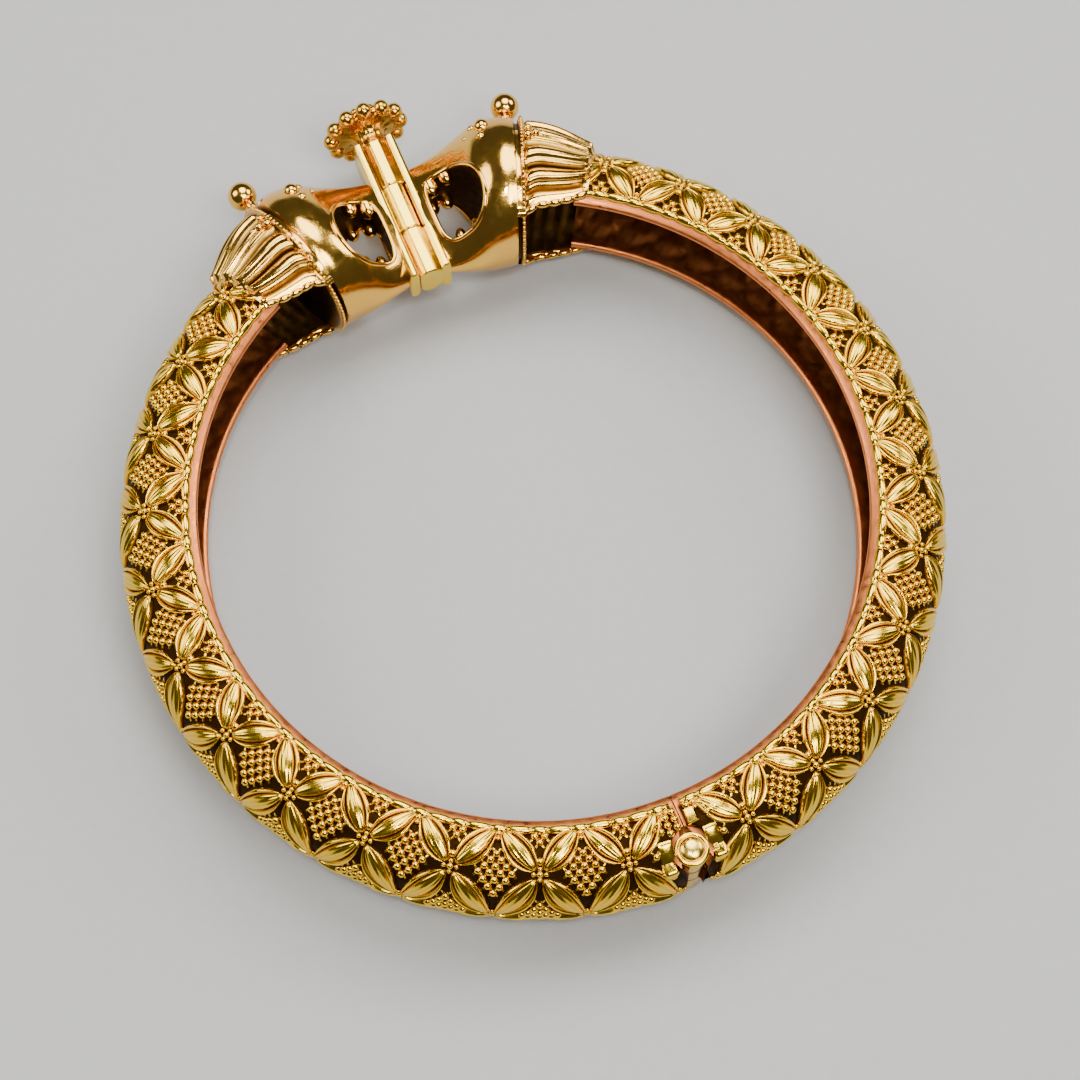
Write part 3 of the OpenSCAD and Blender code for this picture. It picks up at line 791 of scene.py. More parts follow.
    def rim_wires(self) -> Surface:
        """The chains of long beads along the pattern's edges, four to each pitch.

        They are one at the node, a long one, a short one and a long one. With x from 0 to 1 along a bead its
        radius is waist + bulge sin(pi x)^0.5.

        Returns:
            The surface of both chains.
        """
        angle = np.linspace(self.pattern_start + 0.3, self.pattern_end - 0.3, 900)
        turn = ((angle - self.first_node) / self.pitch + 0.1) % 1.0
        starts = np.array([0.0, 0.2, 0.5, 0.7, 1.0])
        k = np.clip(np.searchsorted(starts, turn, side="right") - 1, 0, 3)
        waist, bulge = self.rim_bead_r
        x = (turn - starts[k]) / (starts[k + 1] - starts[k])
        radius = waist + bulge * np.sqrt(np.abs(np.sin(np.pi * x)))
        wires = []
        for sign in (1, -1):
            v = np.full_like(angle, sign * self.wire_v)
            wires.append(tube(self.on(angle, v, self.shell_r + 0.15), radius, self.out(angle, v), 9))
        return joined(*wires)

    def hinge_share(self, thirds: tuple[int, ...]) -> Surface:
        """The hinge knuckles with their webs and cheek, and the slips, tab and grains beside the rivet.

        Args:
            thirds: which thirds of the barrel belong to this half, counted from below.

        Returns:
            Their surface.
        """
        thick, reach_out, reach_in, tall = self.cheek
        inside, y = self.barrel_r + self.swing_gap, -self.hinge_r
        parts = [rounded_box((inside, y - reach_out, -tall), (inside + thick, y + reach_in, tall), 0.35)]
        tabbed = 2 in thirds
        plates = (self.slip, self.tab) if tabbed else (self.slip,)
        grains = np.array(self.tab_grains if tabbed else self.split_grains)
        for sign in (1, -1):
            for angles, (start, end), height in plates:
                parts.append(self.plate(angles, (sign * start, sign * end), height))
            spots = self.on(grains[:, 0], sign * grains[:, 1], self.shell_r + 0.15)
            parts.append(spheres(spots, self.hinge_grain_r, 12, 8))
        third, web = 2 * self.barrel_half / 3, self.barrel_r * 0.6
        for k in thirds:
            low = -self.barrel_half + k * third + self.knuckle_gap / 2
            high = low + third - self.knuckle_gap
            foot = self.knuckle_end(k == 0) * [1, -1] + [0, low]
            head = self.knuckle_end(k == 2) + [0, high]
            parts.append(lathe(np.concatenate([foot, head[::-1]]), (0, y, 0), (0, 0, 1), 40))
            parts.append(rounded_box((0.4, y - web, low), (inside + thick / 2, y + web, high), 0.1))
        return joined(*parts)

    def plate(self, angles: tuple[float, float], levels: tuple[float, float], height: float) -> Surface:
        """A low plate on the sheet beside the hinge, as high as the lesser of two bevelled steps.

        Args:
            angles: where it starts and ends round the ring.
            levels: where it starts and ends round the section.
            height: its height over the sheet.

        Returns:
            Its surface, open towards the sheet.
        """
        step = np.array([0.0, 0.03, 0.14, 0.86, 0.97, 1.0])
        rise = np.array([-0.1, 0.6, 1.0, 1.0, 0.6, -0.1]) * height
        angle = angles[0] + (angles[1] - angles[0]) * step[:, None]
        share = np.linspace(0, 1, 25)
        v = levels[0] + (levels[1] - levels[0]) * share
        ends = np.interp(share, [0.0, 0.05, 0.12, 0.88, 0.95, 1.0], rise)
        height = np.minimum(rise[:, None], ends)
        return grids(self.on(angle, v, self.shell_r + height), turned=levels[1] < levels[0])

    def knuckle_end(self, outermost: bool) -> np.ndarray:
        """Rows of (r, h) from the middle of a knuckle's end to its side, with a collar on the outermost ends.

        Args:
            outermost: whether the end is one of the barrel's two.

        Returns:
            The end's profile.
        """
        if not outermost:
            return np.array([[0, 0], [self.barrel_r - 0.12, 0], [self.barrel_r, -0.12]])
        a = np.linspace(np.pi, 0, 9)
        collar = np.stack([self.barrel_r - 0.15 + 0.25 * np.cos(a), 0.04 + 0.22 * np.sin(a)], axis=-1)
        return np.concatenate([[[0, -0.1], [collar[0, 0], -0.1]], collar])

    def notched(self, surface: Surface) -> Surface:
        """The surface with its points pushed out of the hinge's notch and of the room round the barrel.

        A point outside the pivot at (x, d), d being its distance past the pivot, moves to x >= d tan(notch).
        Nearer than the barrel's clearance it moves straight out of that circle.

        Args:
            surface: the surface to cut back.

        Returns:
            The changed surface.
        """
        points = surface.points.copy()
        d = -self.hinge_r - points[:, 1]
        notch = d * math.tan(math.radians(self.notch_deg))
        cut = (d > 0) & (points[:, 0] < notch)
        points[cut, 0] = notch[cut]
        clear = self.barrel_r + self.swing_gap + self.notch_room
        from_pin = points[:, :2] + [0, self.hinge_r]
        far = np.linalg.norm(from_pin, axis=1)
        near = far < clear
        points[near, :2] = from_pin[near] * clear / np.maximum(far[near], 0.05)[:, None] - [0, self.hinge_r]
        return Surface(points, surface.quads, surface.recess)

    def build(self, side: Side) -> None:
        """Builds and dresses one half.

        Args:
            side: which half.
        """
        pattern = joined(self.settings(), self.granules(), self.rim_wires())
        make_side_piece("sheet", side, self.notched(self.shell()), SHEET, ("band",))
        make_side_piece("petals", side, self.notched(self.petals()), STAMPED, sharp_deg=80)
        make_side_piece("granules", side, self.notched(pattern), STAMPED, sharp_deg=70)
        make_side_piece("hinge_knuckles", side, self.hinge_share(side.value), STAMPED, sharp_deg=40)


# Lion heads

@dataclass
class LionHead:
    """One cast lion head with its mane, mouth, ball and clasp strip.

    The mouth holds its middle and its half sizes. Rows of face_rows hold (share of the collar's angle, share
    of out, share of deep, share of half) and rows of collar_rows (share of the collar's angle, share of deep,
    share of half, recess). Rows of neck_rows hold (place, size, angle of the lips) and rows of tooth_rows
    (place along the mouth, jaw, radius, level). An eye holds (angle, angle round the section, radius), and a
    crest granule (place, angle round the section, radius). The lip beads' radius is that between them, and
    what they gain. The neck's gap is its skin's height over the band at the tip, and the lining's gap is the
    lining's.
    """

    ring_r: float = RING_R
    shell_r: float = SHELL_R
    out: float = 1.35
    deep: float = 7.4
    half: float = 6.8
    collar: float = 20.4
    tip: float = 31.5
    mouth: tuple[float, float, float, float] = (4.85, 31.15, 2.5, 3.6)
    strip: tuple[float, float] = (1.15, 2.05)
    clasp_r: tuple[float, float] = (25.6, 41.0)
    clasp_h: float = 4.2
    knuckle_gap: float = 0.1
    face_rows: tuple[tuple[float, float, float, float], ...] = (
        (0.138, -0.30, 0.78, 0.31), (0.27, -0.22, 0.82, 0.38), (0.39, -0.04, 0.87, 0.48),
        (0.51, 0.26, 0.93, 0.65), (0.63, 0.63, 0.98, 0.85), (0.75, 0.90, 1.00, 0.96),
        (0.86, 1.00, 0.99, 1.00), (0.935, 1.00, 0.96, 0.985))
    eyes: tuple[tuple[float, float, float], ...] = (
        (14.6, 48, 0.80), (13.2, 40, 0.45), (14.2, 62, 0.50), (12.0, 50, 0.32))
    tooth_rows: tuple[tuple[float, int, float, float], ...] = (
        (-0.66, 1, 0.80, 1.7), (0.0, 1, 0.72, 2.2), (-0.35, -1, 0.56, 1.8), (0.3, -1, 0.64, 2.9))
    neck_rows: tuple[tuple[float, float, float], ...] = (
        (0.0, 0.70, 137), (0.06, 0.67, 135), (0.2, 0.57, 130), (0.4, 0.41, 127), (0.6, 0.24, 123),
        (0.8, 0.09, 117), (1.0, 0.0, 109))
    collar_rows: tuple[tuple[float, float, float, float], ...] = (
        (0.935, 0.96, 0.985, 0.1), (0.94, 0.93, 0.955, 0.6), (0.948, 0.88, 0.90, 1), (0.966, 0.88, 0.90, 1),
        (0.972, 0.93, 0.945, 0.5), (0.982, 0.96, 0.98, 0), (1.0, 0.965, 0.985, 0), (1.012, 0.95, 0.965, 0.3),
        (1.016, 0.90, 0.91, 0.9), (1.016, 0.72, 0.72, 1), (0.985, 0.5, 0.5, 1), (0.97, 0.25, 0.25, 1),
        (0.965, 0, 0, 1))
    crest: tuple[tuple[float, float, float], ...] = (
        (0.07, 56, 0.42), (0.07, 66, 0.46), (0.17, 61, 0.46), (0.27, 58, 0.36))
    neck_gap: float = 0.56
    lining_gap: float = 0.07
    neck_wall: float = 0.8
    lock_deg: float = 23.5
    lock_start: float = 0.86
    lock_high: float = 1.02
    arch_high: float = 0.5
    collar_beads: int = 90
    collar_bead_r: float = 0.2
    lip_beads: int = 5
    lip_bead_r: tuple[float, float] = (0.15, 0.21)
    mouth_rim_r: float = 0.24
    ball_r: float = 1.4
    ball_gap: float = 0.7
    ball_lean: float = 18.4

    def section(self, angle: np.ndarray) -> tuple[np.ndarray, np.ndarray, np.ndarray]:
        """Middle, depth and height of the face's oval, read from face_rows.

        Args:
            angle: angles from the clasp.

        Returns:
            Three arrays like angle.
        """
        middle, deep, half = [smooth_table(angle / self.collar, self.face_rows, k) for k in (1, 2, 3)]
        return self.ring_r + self.out * middle, self.deep * deep, self.half * half

    def on_face(self, angle: np.ndarray, v: np.ndarray, lift: np.ndarray | float = 0.0) -> np.ndarray:
        """Places on the face's oval, with its depth and height raised by lift.

        Args:
            angle: angles from the clasp.
            v: angles round the section from the outer side.
            lift: height over the skin.

        Returns:
            An array (..., 3).
        """
        middle, deep, half = self.section(angle)
        return on_oval(angle, middle, deep + lift, half + lift, v)

    def mouth_edge(self, turn: np.ndarray) -> tuple[np.ndarray, np.ndarray]:
        """The mouth's outline: centre + (e |cos|^p, f |sin|^p), signed, with p = 0.5 towards the clasp.

        Args:
            turn: angles round the mouth, 0 away from the clasp.

        Returns:
            x and y in millimetres.
        """
        x0, y0, along, deep = self.mouth
        c, s = np.cos(np.radians(turn)), np.sin(np.radians(turn))
        power = np.where(c < 0, 0.5, 1.0)
        x = x0 + along * np.sign(c) * np.abs(c) ** power
        y = y0 + deep * np.sign(s) * np.abs(s) ** power
        return x, y

    def mouth_on_skin(self, turn: np.ndarray) -> tuple[np.ndarray, np.ndarray]:
        """Where the mouth's outline meets the skin: atan2(x, y), and acos((distance - middle) / depth).

        Args:
            turn: angles round the mouth, 0 away from the clasp.

        Returns:
            The angles from the clasp and round the section.
        """
        x, y = self.mouth_edge(turn)
        angle = np.degrees(np.arctan2(x, y))
        middle, deep, _ = self.section(angle)
        return angle, np.degrees(np.arccos(np.clip((np.hypot(x, y) - middle) / deep, -1, 1)))

    def face(self) -> tuple[Surface, Surface]:
        """The muzzle and cheeks, as a grid round the mouth on each side of the head.

        The grid runs from the mouth's outline to the rectangle (start..groove) x (0..180 degrees) that the
        side of the face fills: (1 - s) mouth + s rectangle. The mouth's wall joins both outlines and is a
        little wider between them.

        Returns:
            The skin of both sides, and the mouth's wall.
        """
        n, rows = 40, 30
        start, end = self.face_rows[0][0] * self.collar, self.face_rows[-1][0] * self.collar
        k = np.linspace(0, 1, n, endpoint=False)
        rim_angle = np.concatenate([start + 0 * k, start + (end - start) * k,
                                    end + 0 * k, end - (end - start) * k])
        rim_v = np.concatenate([180 - 180 * k, 0 * k, 180 * k, 180 + 0 * k])
        turn = np.concatenate([225 - 90 * k, 135 - 90 * k, 45 - 90 * k, -45 - 90 * k])
        hole_angle, hole_v = self.mouth_on_skin(turn)
        s = np.linspace(0, 1, rows)[:, None] ** 1.25
        angle = (1 - s) * hole_angle + s * rim_angle
        v = (1 - s) * hole_v + s * rim_v
        top = self.on_face(angle, v)
        low = top * [1, 1, -1]
        x, y = self.mouth_edge(turn)
        level = np.linspace(1, -1, 13)[:, None]
        bulge = 1 + 0.14 * (1 - level ** 2)
        x0, y0 = self.mouth[:2]
        wall_x = x0 + (x - x0) * np.where(x > x0, bulge, 1.0)
        wall_y = y0 + (y - y0) * (1 + 0.3 * (bulge - 1))
        wall = np.stack([wall_x, wall_y, level * top[0, :, 2]], axis=-1)
        skin = joined(grids(top, closed_v=True), grids(low, closed_v=True, turned=True))
        # Painted shade: the mouth's wall is darkened through the recess tone, most at its middle
        return skin, grids(wall, recess=0.9 - 0.5 * level ** 4, closed_v=True)

    def collar_ring(self) -> Surface:
        """The groove behind the cheeks, darkened with painted shade, and the rolled collar, an oval for each
        row of collar_rows.

        Returns:
            Its surface, closed towards the neck.
        """
        rows = np.array(self.collar_rows)
        v = np.linspace(0, 360, 128, endpoint=False)[None, :]
        points = on_oval(rows[:, :1] * self.collar, self.ring_r + self.out, rows[:, 1:2] * self.deep,
                         rows[:, 2:3] * self.half, v)
        # Painted shade: the groove's rows are darkened through the recess column of collar_rows
        return grids(points, recess=rows[:, 3:4], closed_v=True, turned=True)

    def on_neck(self, place: np.ndarray, v: np.ndarray, lift: np.ndarray | float = 0.0) -> np.ndarray:
        """Places on the neck's skin, whose half sizes are tip + size (those of the cheeks - tip) + lift.

        Args:
            place: 0 at the collar to 1 at the tip.
            v: angles round the section from the outer side.
            lift: height over the skin.

        Returns:
            An array (..., 3).
        """
        size = smooth_table(np.clip(place, 0, 1), self.neck_rows, 1)
        tip_r = self.shell_r + self.neck_gap
        deep, half = [tip_r + (whole - tip_r) * size + lift for whole in (self.deep, self.half)]
        angle = self.collar + (self.tip - self.collar) * place
        return on_oval(angle, self.ring_r + self.out * size, deep, half, v)

    def mane(self) -> tuple[Surface, Surface]:
        """The hair over the hollow neck, and the neck's lining.

        The locks run from the collar to the tip and draw together with the lips. With c going up by 1 every
        lock_deg degrees from the middle at the collar, each is |sin(pi c)|^0.9 with a groove below its back.
        They arch outwards by a sine along the neck, less so on its top and underside. The skin turns round at
        the lips into the lining.

        Returns:
            The skin with its lips, and the lining.
        """
        near_tip = [0.92, 0.94, 0.955, 0.97, 0.985, 1.0]
        place = np.concatenate([[-0.12], np.linspace(0, 0.9, 52), near_tip])[:, None]
        inside = np.clip(place, 0, 1)
        size, lips = [smooth_table(inside, self.neck_rows, k) for k in (1, 2)]
        middle = self.ring_r + self.out * size
        u = np.linspace(-1, 1, 289)[None, :]
        v = u * lips
        lock = (np.abs(u) * self.neck_rows[0][2] / self.lock_deg + self.lock_start) % 1.0
        shape = np.abs(np.sin(np.pi * lock)) ** 0.9 - 0.22 * np.exp(-((lock - 0.72) / 0.07) ** 2)
        tip_fade = np.clip((0.93 + 0.06 * shape - place) / 0.05, 0, 1)
        lip_fade = np.clip((0.97 - np.abs(u)) / 0.12, 0, 1)
        envelope = tip_fade * lip_fade * np.clip(place / 0.06, 0, 1)
        flat_top = 1 - 0.47 * np.sin(np.radians(v)) ** 2
        arch = self.arch_high * np.sin(np.pi * inside)
        lift = (self.lock_high * shape - 0.54 + 0.24 * inside + arch * flat_top) * envelope
        roll = 0.26 * np.exp(-((0.985 - np.abs(u)) / 0.03) ** 2) * np.clip((1 - place) / 0.2, 0, 1)
        skin = self.on_neck(place, v, lift + roll)
        # Painted shade: the valleys between the locks are darkened through the recess tone
        valley = np.clip(1.3 - 2.0 * shape, 0, 1) * envelope
        back_v = np.linspace(1, -1, 61)[None, :] * lips
        dimple = 0.10 * np.sin(place * 23 + back_v * 0.09) * np.sin(back_v * 0.13 - place * 9)
        tip_r = self.shell_r + self.lining_gap
        deep, half = [tip_r + (whole - self.neck_wall - tip_r) * size + dimple
                      for whole in (self.deep, self.half)]
        lining = on_oval(self.collar + (self.tip - self.collar) * place, middle, deep, half, back_v)
        ends = []
        for a, b in ((skin[:, -1], lining[:, 0]), (lining[:, -1], skin[:, 0])):
            step = np.linspace(0, 1, 7)[None, :, None]
            outwards = unit(np.cross(unit(b - a), np.gradient((a + b) / 2, axis=0)))[:, None, :]
            width = np.linalg.norm(b - a, axis=-1)[:, None, None]
            ends.append(a[:, None] + (b - a)[:, None] * step - outwards * width * 0.5 * np.sin(np.pi * step))
        before, after = ends[1][:, 3:], ends[0][:, 1:4]
        skin_all = np.concatenate([before, skin[:, 1:], after], axis=1)
        tone = np.concatenate([0 * before[..., 0], valley[:, 1:], 0 * after[..., 0]], axis=1)
        lining_all = np.concatenate([ends[0][:, 3:], lining[:, 1:], ends[1][:, 1:4]], axis=1)
        back = np.linspace(0, skin.shape[1] - 1, lining.shape[1]).round().astype(int)[::-1]
        tip = np.stack([skin[-1, back], lining[-1]], axis=0)
        # Painted shade: the tip is darkened a little and the lining more
        outside = joined(grids(skin_all, recess=tone), grids(tip, recess=0.3, turned=True))
        return outside, grids(lining_all, recess=0.6)

    def ornaments(self) -> Surface:
        """Collar beads, crest granules, beaded lips, eyes, mouth rims, teeth, and the ball on its stalk.

        Returns:
            The surface of them all.
        """
        middle = self.ring_r + self.out
        v = np.linspace(0, 360, self.collar_beads, endpoint=False)
        row = on_oval(np.full_like(v, 0.993 * self.collar), middle, self.deep * 0.965, self.half * 0.965, v)
        parts = [spheres(row, self.collar_bead_r, 8, 5)]
        crest, eyes = np.array(self.crest), np.array(self.eyes)
        place = np.linspace(0.03, 0.97, 200)
        thin, bulge = self.lip_bead_r
        bead = thin + bulge * np.sqrt(np.abs(np.sin(np.pi * place * self.lip_beads)))
        for sign in (1, -1):
            parts.append(spheres(self.on_neck(crest[:, 0], sign * crest[:, 1], 0.5), crest[:, 2], 12, 8))
            lip_v = sign * (smooth_table(place, self.neck_rows, 2) - 3)
            edge = self.on_neck(place, lip_v, 0.12)
            parts.append(tube(edge, bead, edge - self.on_neck(place, lip_v), 9))
            parts.append(spheres(self.on_face(eyes[:, 0], sign * eyes[:, 1], -0.22), eyes[:, 2], 16, 10))
            angle, rim_v = self.mouth_on_skin(np.linspace(0, 360, 120, endpoint=False))
            path = self.on_face(angle, sign * rim_v)
            parts.append(tube(path, self.mouth_rim_r, path - [*self.mouth[:2], 0], 8, closed=True))
            parts.append(self.teeth(sign))
        return joined(*parts, self.ball())

    def ball(self) -> Surface:
        """The ball on its stalk, turned round a line that leans away from the clasp.

        Returns:
            The surface of both.
        """
        r = self.ball_r
        foot = self.ring_r + self.out + self.deep * 0.9
        centre = self.ring_r + self.out + self.deep + self.ball_gap + r
        lean = math.radians(self.ball_lean)
        b = np.linspace(np.pi - 0.42, 0, 20)
        stalk = [[0, foot], [1.15, foot], [1.0, foot + 0.65], [0.62, foot + 1.0], [0.58, centre - r - 0.05]]
        profile = np.concatenate([stalk, np.stack([r * np.sin(b), centre + r * np.cos(b)], axis=-1)])
        return lathe(profile, (0, 0, 0), (math.sin(lean), math.cos(lean), 0), 32)

    def teeth(self, sign: int) -> Surface:
        """The blunt teeth on one side of the mouth: lumps of radius r (1.02 - t^3)^0.5 along a curved line.

        Args:
            sign: 1 for the upper side of the resting bangle and -1 for the lower one.

        Returns:
            Their surface.
        """
        x0, y0, along, deep = self.mouth
        t = np.linspace(0, 1, 9)[:, None]
        parts = []
        for place, jaw, size, level in self.tooth_rows:
            jaw_y = y0 + jaw * (deep * (1 - abs(place) ** 3) ** 0.4 + 0.2)
            root = np.array([x0 + place * along, jaw_y, sign * level])
            line = root + t * np.array([0, -jaw * 1.45, 0]) + t ** 2 * np.array([0.15, 0, sign * 0.1])
            parts.append(tube(line, size * np.sqrt(1.02 - t[:, 0] ** 3), np.tile([1.0, 0, 0], (9, 1)), 12))
        return joined(*parts)

    def clasp_side(self, knuckles: tuple[int, ...]) -> Surface:
        """The strip beside the screw, round on top, and this half's faceted and slightly lower knuckles.

        Args:
            knuckles: which thirds belong to this half, counted outwards from the wrist.

        Returns:
            Their surface.
        """
        low, high = self.clasp_r
        x0, x1 = self.strip
        h = self.clasp_h / 2
        rail = [[x0, h - 0.42], [x0 + 0.12, h - 0.14], [x0 + 0.32, h],
                [x1 - 0.32, h], [x1 - 0.12, h - 0.14], [x1, h - 0.42]]
        knuckle = [[self.knuckle_gap - x0, h - 1.0], [-0.86, h - 0.62], [-0.4, h - 0.26],
                   [0.4, h - 0.26], [0.86, h - 0.62], [x0 + 0.1, h - 0.95]]
        third, gap = (high - low) / 3, self.knuckle_gap / 2
        bars = [self.bar(knuckle, low + k * third + gap * (k > 0), low + (k + 1) * third - gap * (k < 2))
                for k in knuckles]
        return joined(self.bar(rail, low, high), *bars)

    def bar(self, top: list[list[float]], low: float, high: float) -> Surface:
        """A bar along the screw with bevelled ends. Its section is the upper outline and its mirror image.

        Args:
            top: rows of (x, z) of the upper outline, from left to right.
            low: where the bar starts.
            high: where it ends.

        Returns:
            The bar's surface.
        """
        upper = np.array(top)
        outline = np.concatenate([(upper * [1, -1]), upper[::-1]])
        centre = outline.mean(axis=0)
        sizes = np.array([0.0, 0.92, 1.0, 1.0, 0.92, 0.0])
        places = np.array([low, low, low + 0.1, high - 0.1, high, high])
        ring = centre + sizes[:, None, None] * (outline - centre)
        y = np.broadcast_to(places[:, None], ring.shape[:2])
        points = np.stack([ring[..., 0], y, ring[..., 1]], axis=-1)
        return grids(points, closed_v=True)

    def build(self, side: Side) -> None:
        """Builds and dresses one head.

        Args:
            side: which half carries it.
        """
        face, wall = self.face()
        skin, lining = self.mane()
        make_side_piece("lion_face", side, joined(face, self.collar_ring()), CAST, ("head",), 50)
        make_side_piece("lion_throat", side, wall, SHADED_THROAT)
        make_side_piece("mane", side, skin, CAST, sharp_deg=75)
        make_side_piece("neck_lining", side, lining, SHADED_NECK, sharp_deg=75)
        make_side_piece("beads_and_teeth", side, self.ornaments(), CAST)
        make_side_piece("clasp_knuckles", side, self.clasp_side(side.value), LIT_CLASP, sharp_deg=30)


# Hinge pin and screw

@dataclass
class Fasteners:
    """The hinge pin with its riveted ends, and the flower-headed screw."""

    hinge_r: float = HINGE_R
    hinge_pin_r: float = 0.7
    barrel_half: float = 3.85
    rivet: tuple[float, float] = (1.08, 0.50)
    screw_r: float = 0.7
    screw_y: tuple[float, float] = (25.9, 43.36)
    flower_y: float = 41.06
    flower_r: float = 3.5
    neck: tuple[float, float] = (1.5, 1.8)
    disc_t: float = 1.0
    lobes: int = 12

    def hinge_pin(self) -> Surface:
        """The pin, a straight rod with a domed rivet at each end.

        Returns:
            Its surface.
        """
        r, rise = self.rivet
        a = np.linspace(0, np.pi / 2, 9)
        dome = np.stack([r * np.cos(a), self.barrel_half + 0.06 + (rise - 0.06) * np.sin(a)], axis=-1)
        top = np.concatenate([[[self.hinge_pin_r, self.barrel_half], [r - 0.02, self.barrel_half]], dome])
        profile = np.concatenate([(top * [1, -1])[::-1], top])
        return lathe(profile, (0, -self.hinge_r, 0), (0, 0, 1), 40)

    def screw(self) -> Surface:
        """The screw's shank, with a bevelled end towards the wrist.

        Returns:
            Its surface.
        """
        low, high = self.screw_y
        r = self.screw_r
        profile = np.array([[0, low], [r - 0.2, low], [r, low + 0.2], [r, high], [0, high]])
        return lathe(profile, (0, 0, 0), (0, 1, 0), 32)

    def flower(self) -> Surface:
        """The flower: a lobed disc on a neck, with three rings of beads and a domed middle.

        Returns:
            Its surface.
        """
        neck_r, neck = self.neck
        base, rim, top = np.array([0, self.flower_y, 0]), self.flower_r, neck + self.disc_t
        profile = np.array([
            [0.76, 0], [neck_r * 0.93, 0.0], [neck_r, 0.12], [neck_r * 0.9, 0.5], [neck_r * 0.92, 1.0],
            [neck_r * 1.15, neck - 0.12], [rim * 0.72, neck + 0.02], [rim * 0.93, neck + 0.1],
            [rim, neck + 0.35], [rim * 0.98, neck + 0.75], [rim * 0.88, top], [rim * 0.74, neck + 0.84],
            [rim * 0.62, top], [rim * 0.42, top + 0.05], [rim * 0.3, top]])
        ripple = np.array([0, 0, 0, 0.02, 0.03, 0.03, 0.05, 0.06, 0.05, 0.05, 0.05, 0.05, 0.04, 0.02, 0])
        # The lobes' troughs get painted shade through lathe's ripple
        parts = [lathe(profile, base, (0, 1, 0), 120, ripple, self.lobes)]
        for count, start, share, level, bead, around, rings in (
                (self.lobes, 0.0, 1.0, neck + self.disc_t / 2, 0.82, 18, 12),
                (self.lobes, np.pi / self.lobes, 0.82, top + 0.05, 0.46, 14, 8),
                (8, 0.0, 0.55, top, 0.46, 14, 8), (1, 0.0, 0.0, top, 0.96, 24, 14)):
            a = start + np.linspace(0, 2 * np.pi, count, endpoint=False)
            ring = share * rim * np.stack([np.cos(a), 0 * a, np.sin(a)], axis=-1)
            parts.append(spheres(base + ring + [0, level, 0], bead, around, rings))
        return joined(*parts)

    def build(self) -> None:
        """Builds and dresses the hinge pin, the screw and its flower."""
        make_piece("riveted_pin", self.hinge_pin(), "right_half", WIRE, ("hinge_pin",), 50)
        make_piece("screw_shank", self.screw(), "clasp_screw", WIRE, ("clasp_pin",), 50)
        make_piece("screw_flower", self.flower(), "clasp_screw", SHADED_FLOWER, ("clasp_flower",), 60)


# Floor, light and camera

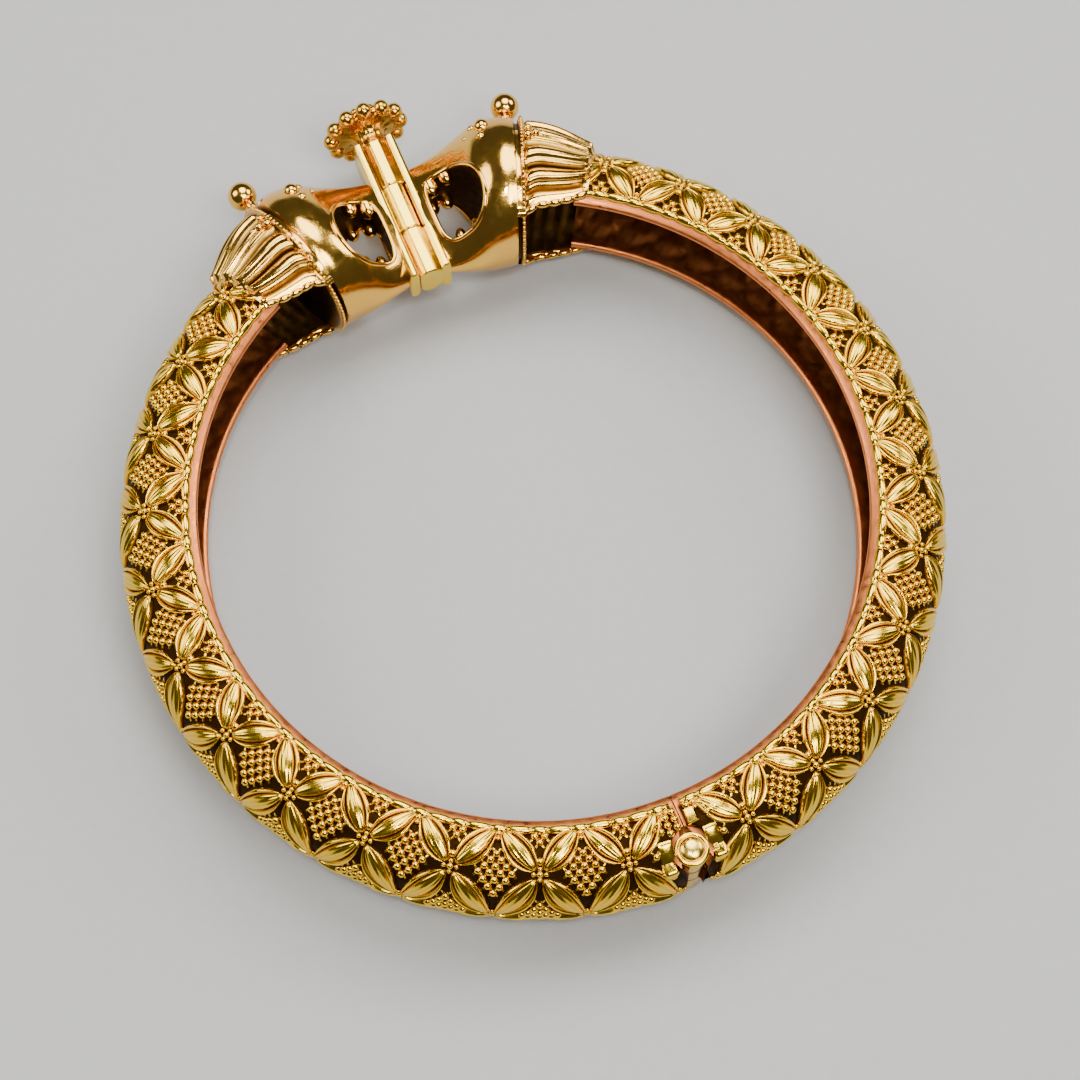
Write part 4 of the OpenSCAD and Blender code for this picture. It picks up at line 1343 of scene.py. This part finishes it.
@dataclass
class Studio:
    """A plain pale floor, soft lights and the camera at the photograph's angle.

    Each light holds its name, azimuth, elevation, distance, width and power, in degrees, metres and watts.
    """

    floor_z: float = -6.8
    clasp_turn: float = 24.7
    aim: tuple[float, float] = (0.67, -2.77)
    elevation: float = 67.8
    roll: float = 2.6
    distance: float = 204.0
    focal_px: float = 2257.0
    photo_px: float = 1080.0
    sensor: float = 36.0
    floor_gap: float = 0.05
    floor_half_m: float = 6.0
    paper: tuple[tuple[float, float, float], ...] = ((0.46, 0.455, 0.44), (0.50, 0.495, 0.48))
    room: tuple[float, float, float] = (0.55, 0.53, 0.50)
    room_strength: float = 0.14
    lights: tuple[tuple[str, float, float, float, float, float], ...] = (
        ("key", -70.0, 60.0, 0.42, 0.20, 1.1),
        ("top", 62.0, 62.0, 0.46, 0.34, 2.0),
        ("fill", 150.0, 38.0, 0.55, 0.34, 1.5),
        ("side", 8.0, 36.0, 0.50, 0.22, 0.9),
        ("flash", -118.0, 74.0, 0.34, 0.03, 0.30))

    def direction(self, azimuth: float, elevation: float) -> np.ndarray:
        """Unit direction towards an azimuth from +X and an elevation above the floor."""
        a, e = math.radians(azimuth), math.radians(elevation)
        return np.array([math.cos(e) * math.cos(a), math.cos(e) * math.sin(a), math.sin(e)])

    def floor(self) -> None:
        """The floor, a wide plane just under the bangle, with a faint paper grain."""
        mesh = bpy.data.meshes.new("floor")
        wide, z = self.floor_half_m, (self.floor_z - self.floor_gap) * MM
        corners = [(-wide, -wide, z), (wide, -wide, z), (wide, wide, z), (-wide, wide, z)]
        mesh.from_pydata(corners, [], [(0, 1, 2, 3)])
        material = bpy.data.materials.new("pale paper")
        material.use_nodes = True
        tree = material.node_tree
        place = add_node(tree, "ShaderNodeTexCoord", {}).outputs["Object"]
        grain = add_node(tree, "ShaderNodeTexNoise", {"Vector": place, "Scale": 900}).outputs["Fac"]
        light, dark = [(*colour, 1) for colour in self.paper]
        mix = add_node(tree, "ShaderNodeMix", {"Factor": grain, "A": light, "B": dark}, data_type="RGBA")
        shader = tree.nodes["Principled BSDF"]
        shader.inputs["Roughness"].default_value = 0.75
        tree.links.new(mix.outputs["Result"], shader.inputs["Base Color"])
        mesh.materials.append(material)
        placed("floor", mesh)

    def light(self) -> None:
        """Soft area lights that point at the middle of the ring, and a dim warm room."""
        for name, azimuth, elevation, distance, width, power in self.lights:
            data = bpy.data.lights.new(name, "AREA")
            data.shape, data.size, data.energy = "DISK", width, power
            lamp = placed(name, data)
            towards = self.direction(azimuth, elevation)
            lamp.location = towards * distance
            lamp.rotation_euler = Vector(towards).to_track_quat("Z", "Y").to_euler()
        world = bpy.data.worlds.new("room")
        world.use_nodes = True
        background = world.node_tree.nodes["Background"]
        background.inputs["Color"].default_value = (*self.room, 1)
        background.inputs["Strength"].default_value = self.room_strength
        bpy.context.scene.world = world

    def camera(self) -> None:
        """The camera, which looks at the photograph's middle from its angle, rolled as the photo is."""
        data = bpy.data.cameras.new("camera")
        data.sensor_width = self.sensor
        data.lens = self.sensor * self.focal_px / self.photo_px
        data.clip_start, data.clip_end = 0.01, 10.0
        camera = placed("camera", data)
        turn = math.radians(-self.clasp_turn)
        x, y = self.aim
        aim = np.array([x * math.cos(turn) - y * math.sin(turn), x * math.sin(turn) + y * math.cos(turn), 0])
        back = self.direction(-90 - self.clasp_turn, self.elevation)
        right = unit(np.cross([0, 0, 1.0], back))
        up = np.cross(back, right)
        roll = math.radians(self.roll)
        rolled_right = right * math.cos(roll) + up * math.sin(roll)
        rolled_up = np.cross(back, rolled_right)
        matrix = np.eye(4)
        matrix[:3, 0], matrix[:3, 1], matrix[:3, 2] = rolled_right, rolled_up, back
        matrix[:3, 3] = (aim + back * self.distance) * MM
        camera.matrix_world = Matrix(matrix.tolist())
        bpy.context.scene.camera = camera


def main() -> None:
    """Builds the studio and every sub-assembly."""
    logging.basicConfig(level=logging.INFO, format="%(name)s %(message)s")
    studio = Studio()
    studio.camera()
    studio.floor()
    studio.light()
    for side in Side:
        Band().build(side)
        LionHead().build(side)
    Fasteners().build()


if __name__ == "__main__":
    main()
